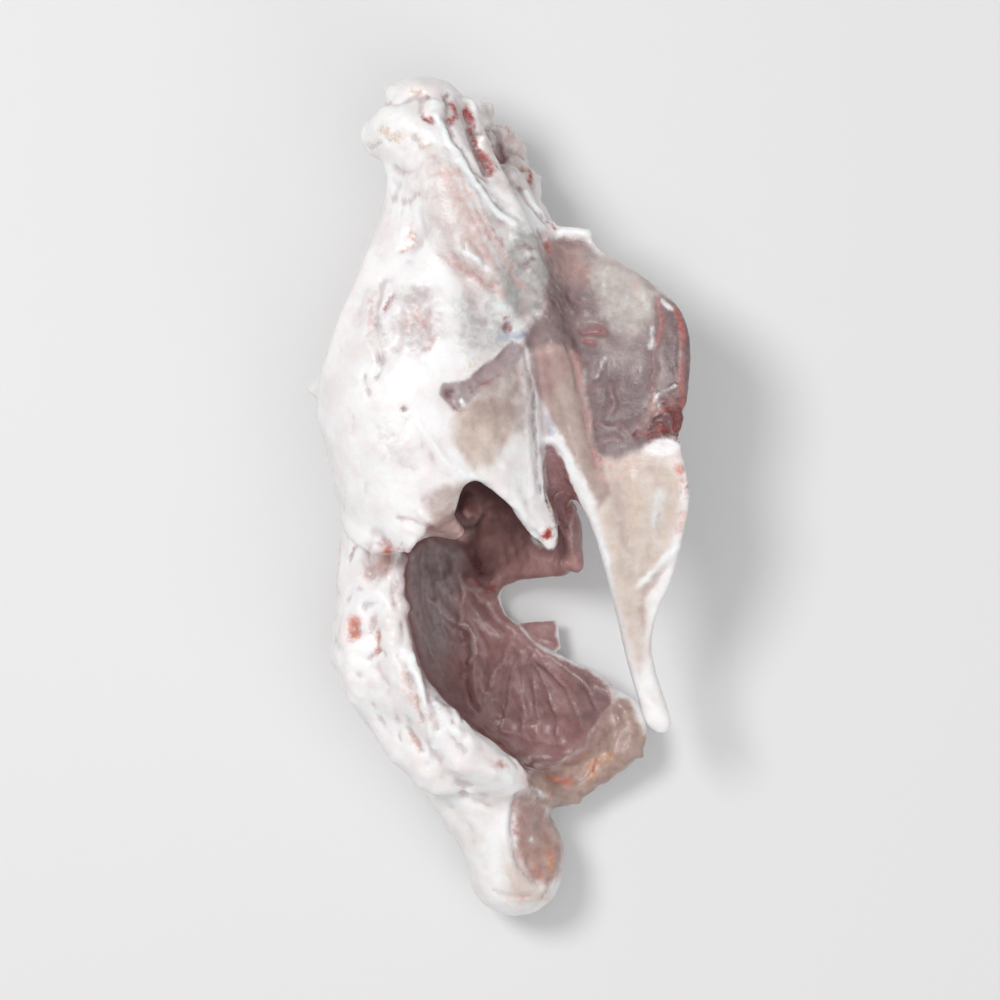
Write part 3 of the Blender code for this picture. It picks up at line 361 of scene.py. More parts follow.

# Areas seen from above: tissue or painted shade, strength, width of the soft edge, and the outline
AREAS = (
    # Shoulder and the glassy band beside it
    ("rosy", 0.42, 4.0, SHOULDER_MUSCLE),
    ("rosy", 0.5, 4.0, ((-13, 72), (-6, 76), (0, 68), (4, 60), (0, 54), (-8, 56), (-14, 62))),
    ("veil_and_shade", 0.44, 5.0, ((-31, 53), (-27, 58), (-20, 58), (-15, 53), (-15, 45), (-20, 40), (-27, 40), (-30, 45))),
    ("veil_and_shade", 0.3, 3.0, ((-37, 58), (-33, 59), (-31, 48), (-30, 37), (-34, 33), (-36, 42))),
    ("veil_and_shade", 0.26, 4.0, ((-35, 22), (-28, 22), (-22, 14), (-22, 6), (-30, 8), (-35, 14))),
    ("lean", 0.5, 3.0, ((-37, -12), (-31, -9.6), (-28.4, -13), (-29.6, -20), (-34, -23), (-38.4, -20))),
    ("glassy", 0.45, 3.0, ((-6, 86), (0, 83), (7, 77), (9, 73), (2, 70), (-3, 76))),
    ("glassy", 1.0, 3.0, ((4, 74), (11, 73), (13, 66), (14, 58), (10, 50), (4, 50), (0, 58), (2, 66))),
    ("glassy", 0.5, 4.0, ((-12, 56), (-4, 57), (5, 52), (6, 44), (0, 40), (-8, 38), (-12, 44))),
    ("rosy", 0.42, 2.0, ((-7, 108), (-3, 109.5), (2, 107), (8, 99), (9, 94), (11.5, 89), (9, 84), (4, 83), (-2, 86), (-5.6, 96))),
    ("rosy", 0.45, 1.6, ((-16.5, 111), (-11, 111.6), (-7.4, 108), (-5.4, 101), (-5, 94), (-8.6, 95), (-12, 101), (-15, 105))),
    # Breastbone fan, its long prong, and the groove above it
    ("rosy", 0.66, 4.2, ((5.4, 41), (-1, 36.5), (-8, 30), (-10.5, 24), (-6, 19), (2, 20), (7, 16), (8.8, 26), (7.6, 36))),
    ("cream", 0.9, 3.0, ((-12, 26), (-13, 17), (-9.4, 9.6), (-3, 8), (0.6, 13), (4, 18), (4, 26), (-4, 28))),
    ("rosy", 0.3, 3.4, ((-12, 23), (-12, 14), (-7, 9.6), (-1, 11), (2, 18), (-3, 24))),
    ("glassy", 0.16, 2.4, ((6, 22), (9, 26), (10, 12), (11, 0), (9, -5), (7, 4))),
    ("veil_and_shade", 0.9, 0.8, ((7.2, 42), (4, 43.6), (-9.4, 32.4), (-16, 31.4), (-16.2, 28.4), (-12.4, 24.4), (-8.6, 26.4), (4, 37.2))),
    # Breast keel: root strip, thin plate and cartilage
    ("rosy", 1.0, 1.7, ((8.6, 38), (9.6, 42), (15, 44), (19.6, 42), (22, 36), (23.4, 28), (26, 17), (30, 2), (27, -2), (22, 8), (17, 17), (13, 24), (10, 30))),
    ("lean", 0.55, 3.0, ((9, 42), (16, 43.6), (20.4, 40), (20, 33), (14, 29), (9.4, 31))),
    ("cream", 0.75, 3.0, ((25, 11), (30, 13), (36, 15), (42, 14), (47, 12), (50, 4), (49, -8), (44, -18), (41, -30), (40, -44), (38, -48), (34, -36), (30, -20), (26, -4))),
    ("plate", 1.0, 2.2, (
        (15, 71.5), (22, 71.5), (30, 66), (38, 63), (41, 60), (46, 56), (51, 53), (53.5, 46), (53.5, 33), (53, 26),
        (47, 17), (42, 16), (38, 14), (32, 11), (26, 12), (23.8, 26), (22.6, 36), (20, 41), (14, 43), (9, 41),
        (6.6, 42), (7, 47), (12, 51), (13, 60), (12, 66),
    )),
    ("film", 0.78, 5.0, ((26, 69), (39, 64), (43.6, 57), (42, 49), (37, 45), (31, 47), (27.4, 54), (24, 62))),
    ("film", 0.3, 3.0, ((12.6, 75), (24, 72), (26, 63), (21, 57), (15, 60), (11, 68))),
    ("lean", 0.5, 3.6, ((12.6, 75), (23, 71), (25, 63), (20, 57), (15, 60), (11, 68))),
    # Painted shade on the keel's front strip, in the grooves round the plate and over the plate's lower part
    ("soft_shade", 0.62, 1.6, ((45, 53), (51, 50), (52.4, 44), (52, 34), (50.4, 27), (44.8, 31), (44.4, 42))),
    ("soft_shade", 0.5, 2.6, ((11, 60), (16, 58), (22, 58), (23, 51), (18, 45), (11, 46), (8, 42), (6.8, 46), (11, 51))),
    ("soft_shade", 0.76, 5.5, ((23, 44), (30, 38), (40, 34), (41, 25), (38, 20.5), (28, 19.5), (24, 21), (22.5, 32))),
    ("soft_shade", 0.55, 2.6, ((24.4, 18), (30, 19.6), (38, 19), (40, 16), (36, 13.6), (29, 12.6), (25, 14))),
    ("pink", 0.32, 3.0, ((25, 10), (30, 11.4), (36, 13), (41, 12), (36, 7), (29, 2), (26, 5))),
    # Near edge of the rib cage
    ("rosy", 0.72, 2.8, ((-22, -1), (-18, -6), (-14, -7.6), (-10, 0), (-9, 5.6), (-13, 4.6), (-18, 2.4))),
    ("rosy", 0.3, 3.0, ((-25, -6), (-17, -9), (-15, -5), (-20, -2), (-25, -2))),
    # The inner face of the far flank, seen through the gap beside the prong
    ("membrane", 1.0, 0.6, ((12.4, 14.4), (14, 15.2), (16.4, 12), (20, 4.6), (22, -1), (23.6, -6), (24.4, -12), (24, -20.4), (0, -23.8), (-10, -14), (-9, 0), (-8, 5), (0, -1), (6, -8), (10, -14), (15, -13.4), (16.4, -9.6), (14.4, -5), (13, 2), (12.4, 8))),
    # Painted shade in the gap beside the prong
    ("torn_and_gap_shade", 0.7, 2.4, ((12.8, 14), (14.2, 15), (17, 10), (20.4, 3), (21.8, -4), (19.6, -9), (15.6, -8), (13.6, 0))),
    ("flush", 0.8, 4.0, ((-8, 3), (0, -3), (7, -11), (14, -15), (22, -16), (22, -19), (10, -20), (0, -22), (-5, -14))),
    ("veil_and_shade", 0.72, 4.0, ((-26, -13), (-14, -11), (-10, -14), (-12, -26), (-14, -40), (-17, -48), (-23, -44), (-27, -28))),
    ("flush", 0.5, 2.4, ((-27.6, -14), (-23.6, -13), (-22.6, -24), (-22, -34), (-18.6, -43), (-23, -44), (-26.4, -34), (-28, -22))),
    # Painted shade along the side of the cord
    ("veil_and_shade", 0.55, 1.2, ((-25.6, -12), (-28.4, -16), (-29.2, -22), (-28.2, -28), (-26.4, -31), (-26, -27), (-26.2, -20), (-24.6, -14))),
    ("lean", 0.85, 1.6, ((-20, -6.6), (-16.4, -5), (-13, -3), (-9.6, -4), (-6.6, -8), (-8, -12), (-12.4, -11.6), (-17, -11.4), (-20, -9.6))),
    ("veil_and_shade", 0.6, 2.0, ((-24, -44), (-20.5, -47), (-12.5, -56.5), (-13.5, -59.5), (-19, -56), (-23, -50))),
    # Painted shade in the hollows of the hips' floor
    ("soft_shade", 0.4, 5.0, ((-6, -48), (0, -42), (10, -42), (16, -46), (18, -54), (16, -64), (4, -66), (-4, -60))),
    ("soft_shade", 0.55, 4.0, ((14, -44), (22, -46), (32, -52), (32, -58), (24, -66), (18, -60), (20, -53))),
    ("torn_and_gap_shade", 0.85, 1.5, (
        (38.6, 17.6), (40.6, 19), (41.4, 22.4), (43.8, 24.4), (44.2, 27.4), (47, 29.4), (49.4, 28.2), (52, 27.6),
        (52.2, 15.6), (48.8, 15.8), (46.8, 18), (44.6, 16.6), (41, 15.8),
    )),
    ("blush", 0.2, 2.6, ((13, 73), (16, 70), (19, 64), (17, 62), (14, 64), (12, 68))),
    # Far hip's thick edge and the tail's underside
    ("fat", 0.95, 1.6, FAR_HIP_EDGE),
    ("lean", 0.4, 2.6, ((6, -79.6), (10, -80), (13, -84.6), (14.4, -89), (16, -93.6), (9.4, -94), (4.6, -94.6), (3.2, -90.6), (3.8, -84.6))),
    ("mauve", 0.86, 2.6, ((3.6, -88), (5, -81.6), (9, -81.6), (12.6, -86), (15.6, -90), (19, -98), (17.6, -104), (13.4, -108), (8.6, -106), (5.4, -101), (4, -96))),
    ("cream", 0.6, 4.5, ((1, -95), (5.4, -102), (12, -106), (16, -105), (13.6, -112), (6, -114.6), (1, -110))),
)


def linear(hex_colour):
    """An sRGB hex colour as linear red, green, blue and alpha."""
    parts = [int(hex_colour[i:i + 2], 16) / 255 for i in (1, 3, 5)]
    return [c / 12.92 if c <= 0.04045 else ((c + 0.055) / 1.055) ** 2.4 for c in parts] + [1.0]


def smoothstep(value, low, high):
    t = np.clip((value - low) / (high - low), 0, 1)
    return t * t * (3 - 2 * t)


def smooth_line(points, step=0.6):
    """Points every `step` millimetres on a smooth curve through the given ones."""
    points = np.asarray(points, float)
    if len(points) == 1:
        return points
    padded = np.vstack((2 * points[0] - points[1], points, 2 * points[-1] - points[-2]))
    made = []
    for i in range(len(points) - 1):
        a, b, c, d = padded[i:i + 4]
        count = max(2, int(math.sqrt(np.nansum((c - b) ** 2)) / step))
        for f in np.arange(count) / count:
            bend = 2 * a - 5 * b + 4 * c - d
            turn = 3 * b - a - 3 * c + d
            made.append(0.5 * (2 * b + (c - a) * f + bend * f * f + turn * f ** 3))
    made.append(points[-1])
    return np.array(made)


def bundle(first, last, count, seed):
    """Uneven lines laid side by side between two guide lines, as fibres lie in a muscle."""
    dice = random.Random(seed)
    guides = []
    for guide in (first, last):
        line = smooth_line(guide)
        run = np.concatenate(([0], np.cumsum(np.linalg.norm(np.diff(line, axis=0), axis=1))))
        share = np.linspace(0, 1, 9)
        guides.append(np.stack([np.interp(share, run / run[-1], line[:, k]) for k in range(line.shape[1])], 1))
    lines = []
    for i in range(count):
        across = (i + dice.uniform(0.1, 0.9)) / count
        line = guides[0] * (1 - across) + guides[1] * across
        begin, stop = dice.randint(0, 2), dice.randint(7, 9)
        lines.append(tuple(tuple(p) for p in line[begin:stop]))
    return lines


class Skin:
    """A mesh's points and normals in millimetres, with ways to find places on it."""

    def __init__(self, obj):
        mesh = obj.data
        self.mesh = mesh
        self.points = np.empty(len(mesh.vertices) * 3)
        mesh.vertices.foreach_get("co", self.points)
        self.points = self.points.reshape(-1, 3) / MM
        self.normals = self.outward()
        polygons = [tuple(p.vertices) for p in mesh.polygons]
        self.tree = BVHTree.FromPolygons([tuple(p) for p in self.points], polygons)
        self.bent = self.points + 0.7 * drift(self.points, 4.6) + 0.3 * drift(self.points, 1.9, 9.0)
        self.press = np.clip(0.9 + 0.6 * wavy(self.points, 4.0, 60), 0.35, 1.3)
        ends = np.empty(len(mesh.edges) * 2, np.int64)
        mesh.edges.foreach_get("vertices", ends)
        self.ends = ends.reshape(-1, 2)
        self.links = np.bincount(self.ends.ravel(), minlength=len(self.points))

    def outward(self):
        """The points' normals, summed in one fixed order, so that every run gives the same skin."""
        self.mesh.calc_loop_triangles()
        corners = np.empty(len(self.mesh.loop_triangles) * 3, np.int32)
        self.mesh.loop_triangles.foreach_get("vertices", corners)
        corners = corners.reshape(-1, 3)
        first, second, third = (self.points[corners[:, k]] for k in range(3))
        facing = np.cross(second - first, third - first)
        normals = np.zeros(self.points.shape)
        for k in range(3):
            np.add.at(normals, corners[:, k], facing)
        return normals / np.maximum(np.linalg.norm(normals, axis=1), 1e-12)[:, None]

    def spread(self, values, rounds):
        """Values evened out between neighbouring points."""
        values = np.asarray(values, float)
        for _ in range(rounds):
            total = np.zeros(values.shape)
            np.add.at(total, self.ends[:, 0], values[self.ends[:, 1]])
            np.add.at(total, self.ends[:, 1], values[self.ends[:, 0]])
            share = total / self.links.reshape((-1,) + (1,) * (values.ndim - 1))
            values = 0.5 * values + 0.5 * share
        return values

    def place(self, point):
        """The skin's own point and normal: from above, at the outline, or the nearest."""
        if len(point) == 2:
            hit, normal, _, _ = self.tree.ray_cast(Vector((point[0], point[1], 300.0)), Vector((0, 0, -1)))
        elif math.isnan(point[2]):
            outermost = np.argmin(np.hypot(self.points[:, 0] - point[0], self.points[:, 1] - point[1]))
            hit, normal = Vector(self.points[outermost]), Vector(self.normals[outermost])
        else:
            hit, normal, _, _ = self.tree.find_nearest(Vector(point))
        return (hit, normal) if hit is not None else None

    def near(self, line, width):
        """How near each point is to a line laid on the skin: 1 on it, falling off over the half width.

        A line on the outline reaches four times as far up and down the side.
        """
        found = [self.place(p) for p in smooth_line(line)]
        found = [f for f in found if f]
        weights = np.zeros(len(self.points))
        if not found:
            return weights
        spots = np.array([f[0] for f in found])
        facing = np.array([f[1] for f in found])
        upright = len(line[0]) == 3 and math.isnan(line[0][2])
        shape = np.array((1, 1, 0.25 if upright else 1))
        reach = 2.6 * width / shape
        inside = np.all((self.bent > spots.min(0) - reach) & (self.bent < spots.max(0) + reach), axis=1)
        picked = np.nonzero(inside)[0]
        best = np.full(len(picked), 1e9)
        side = np.zeros(len(picked))
        for spot, normal in zip(spots, facing):
            away = np.sum(((self.bent[picked] - spot) * shape) ** 2, axis=1)
            closer = away < best
            best[closer] = away[closer]
            side[closer] = self.normals[picked[closer]] @ normal
        weights[picked] = np.exp(-best / (width * width)) * smoothstep(side, -0.1, 0.35) * self.press[picked]
        return weights

    def seen_from_above(self):
        """1 where nothing lies over a point of the skin."""
        up = Vector((0, 0, 1))
        clear = [
            n[2] > 0.02 and self.tree.ray_cast(Vector(p) + Vector(n) * 0.05, up)[0] is None
            for p, n in zip(self.points, self.normals)
        ]
        return np.array(clear, float)

    def within(self, outline, feather):
        """How far inside an outline each point lies, from above: 0 outside, 1 more than the feather inside."""
        corners = np.asarray(outline, float)
        x, y = self.bent[:, 0], self.bent[:, 1]
        inside = np.zeros(len(x), bool)
        nearest = np.full(len(x), 1e9)
        for a, b in zip(corners, np.roll(corners, -1, axis=0)):
            crosses = (a[1] > y) != (b[1] > y)
            rise = b[1] - a[1] if abs(b[1] - a[1]) > 1e-9 else 1e-9
            inside ^= crosses & (x < (b[0] - a[0]) * (y - a[1]) / rise + a[0])
            run = b - a
            t = np.clip(((x - a[0]) * run[0] + (y - a[1]) * run[1]) / (run @ run), 0, 1)
            away = np.hypot(x - a[0] - t * run[0], y - a[1] - t * run[1])
            nearest = np.minimum(nearest, away)
        signed = np.where(inside, nearest, -nearest)
        return smoothstep(signed, -feather, feather)


def wavy(points, size, offset=0.0):
    """Soft noise from about -1 to 1, with bumps about `size` millimetres apart."""
    shift = Vector((offset, offset * 1.7, -offset))
    return np.array([noise.noise(Vector(p) / size + shift) for p in points])


def drift(points, size, offset=0.0):
    """Soft noise with a direction, which bends lines drawn through it."""
    shift = Vector((offset, -offset, offset * 1.3))
    return np.array([noise.noise_vector(Vector(p) / size + shift) for p in points])


def lobed(points, size, offset=0.0):
    """Rounded cells about `size` millimetres wide, 1 at a cell's middle and 0 in the creases between."""
    shift = Vector((offset, offset, offset))
    near = [noise.voronoi(Vector(p) / size + shift)[0] for p in points]
    return np.array([min(1.0, (d[1] - d[0]) * 1.6) for d in near])


# Middle of the hollow inside, from the neck to the tail: y, x and z
HOLLOW_LINE = (
    (100, -12, 28), (80, -13, 30), (60, -13, 33), (30, -16, 36), (0, -14, 35), (-24, -10, 33),
    (-40, -3, 30), (-60, 3, 28), (-75, 10, 25), (-88, 12, 22),
)
HOLLOW_REACH = ((100, 16), (80, 20), (60, 28), (30, 31), (0, 31), (-24, 31), (-40, 31), (-60, 32), (-75, 30), (-88, 20))


def inside_hollow(skin):
    """1 on the inner face of the rib cage and of the hips."""
    line = np.array(sorted(HOLLOW_LINE))
    reach = np.array(sorted(HOLLOW_REACH))
    y = skin.points[:, 1]
    middle = np.stack((np.interp(y, line[:, 0], line[:, 1]), y, np.interp(y, line[:, 0], line[:, 2])), 1)
    towards = middle - skin.points
    away = np.linalg.norm(towards, axis=1)
    facing = np.sum(towards * skin.normals, axis=1) / np.maximum(away, 1e-6)
    near = 1 - smoothstep(away, np.interp(y, reach[:, 0], reach[:, 1]), np.interp(y, reach[:, 0], reach[:, 1]) + 5)
    ends = smoothstep(y, -84, -80) * (1 - smoothstep(y, 96, 102))
    return smoothstep(facing, 0.12, 0.4) * near * ends


def fleshy_areas(skin):
    """Where fat lobes lie: hips, waist, shoulders and neck, on the outside."""
    y, x = skin.points[:, 1], skin.points[:, 0]
    hips = smoothstep(-y, 6, 22) * (1 - smoothstep(-y, 66, 82)) * (1 - smoothstep(x, 2, 12))
    neck = smoothstep(y, 82, 96)
    far_edge = skin.within(FAR_HIP_EDGE, 3.0)
    return np.clip(hips + 0.8 * neck + far_edge, 0, 1)


def only(obj):
    bpy.ops.object.select_all(action="DESELECT")
    obj.select_set(True)
    bpy.context.view_layer.objects.active = obj


def with_modifier(obj, kind, **settings):
    """Adds a modifier to the piece and applies it."""
    only(obj)
    modifier = obj.modifiers.new(kind.lower(), kind)
    for name, value in settings.items():
        setattr(modifier, name, value)
    bpy.ops.object.modifier_apply(modifier=modifier.name)


# The torn corner that hangs from the far hip into the gap: its corners from above, lowest and highest z
HIP_CORNER = ((4.6, -34.9), (11, -34.2), (16.1, -33.9), (16.5, -38), (17, -42.4), (12, -42), (6.4, -38.4))
HIP_CORNER_LOW = 6.0
HIP_CORNER_HIGH = 8.2


def hip_corner():
    """The torn corner as a thin slab, sunk into the hip's edge along one side."""
    bpy.ops.object.select_all(action="DESELECT")
    bpy.ops.mesh.primitive_circle_add(vertices=len(HIP_CORNER), fill_type="NGON")
    slab = bpy.context.view_layer.objects.active
    for vert, (x, y) in zip(slab.data.vertices, HIP_CORNER):
        vert.co = (x * MM, y * MM, HIP_CORNER_LOW * MM)
    bpy.ops.object.mode_set(mode="EDIT")
    bpy.ops.mesh.select_all(action="SELECT")
    rise = (0, 0, (HIP_CORNER_HIGH - HIP_CORNER_LOW) * MM)
    bpy.ops.mesh.extrude_region_move(TRANSFORM_OT_translate={"value": rise})
    bpy.ops.mesh.select_all(action="SELECT")
    bpy.ops.mesh.normals_make_consistent(inside=False)
    bpy.ops.object.mode_set(mode="OBJECT")
    return slab


def fine_copy():
    """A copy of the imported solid, merged and given even, close points, with the torn corner joined on."""
    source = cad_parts["carcass"]
    obj = bpy.data.objects.new("carcass_flesh", source.data.copy())
    bpy.context.scene.collection.objects.link(obj)
    obj.data.materials.clear()
    merged = bmesh.new()
    merged.from_mesh(obj.data)
    bmesh.ops.remove_doubles(merged, verts=merged.verts, dist=1e-6)
    merged.to_mesh(obj.data)
    merged.free()
    with_modifier(obj, "SUBSURF", levels=1, render_levels=1)
    slab = hip_corner()
    only(obj)
    slab.select_set(True)
    bpy.ops.object.join()
    with_modifier(obj, "REMESH", mode="VOXEL", voxel_size=SKIN_VOXEL * MM)
    with_modifier(obj, "SMOOTH", factor=0.5, iterations=SOFT_ROUNDS)
    return obj


def sculpt(obj):
    """Works the relief into the skin, then thins the mesh where it is plain."""
    skin = Skin(obj)
    hollow = skin.spread(inside_hollow(skin), 2)
    fat = fleshy_areas(skin) * (1 - hollow)
    y = skin.points[:, 1]
    height = np.zeros(len(skin.points))
    for rise, width, line in RELIEF:
        height += rise * skin.near(line, width)
    for kind, rise, width, first, last, count, seed in FIBRES:
        if kind == "relief":
            for line in bundle(first, last, count, seed):
                height += rise * skin.near(line, width)
    warped = skin.points + 2.2 * drift(skin.points, 7, 3)
    height += FAT_LOBE_HEIGHT * fat * (smoothstep(lobed(warped, FAT_LOBE), 0.0, 0.7) - 0.7)
    height += SWELL_HEIGHT * wavy(skin.points, SWELL, 11) * (0.4 + 0.6 * fat)
    folds = 1 - 2.2 * np.abs(wavy(warped, WRINKLE, 20))
    height += WRINKLE_HEIGHT * folds * (0.2 + 0.3 * fat + 1.2 * hollow)
    height += PIMPLE_HEIGHT * wavy(skin.points, PIMPLE, 31)
    height += 0.05 * wavy(skin.points, 1.3, 37)
    on_table = skin.points[:, 2] < 1.2
    height = np.where(on_table, np.minimum(height, 0), height)
    moved = skin.points + skin.normals * skin.spread(height, 1)[:, None]
    moved[:, 2] = np.maximum(moved[:, 2], 0)
    obj.data.vertices.foreach_set("co", (moved * MM).ravel())
    obj.data.update()
    obj.data.calc_loop_triangles()
    share = min(1.0, SKIN_TRIANGLES / len(obj.data.loop_triangles))
    with_modifier(obj, "DECIMATE", ratio=share, use_collapse_triangulate=True)
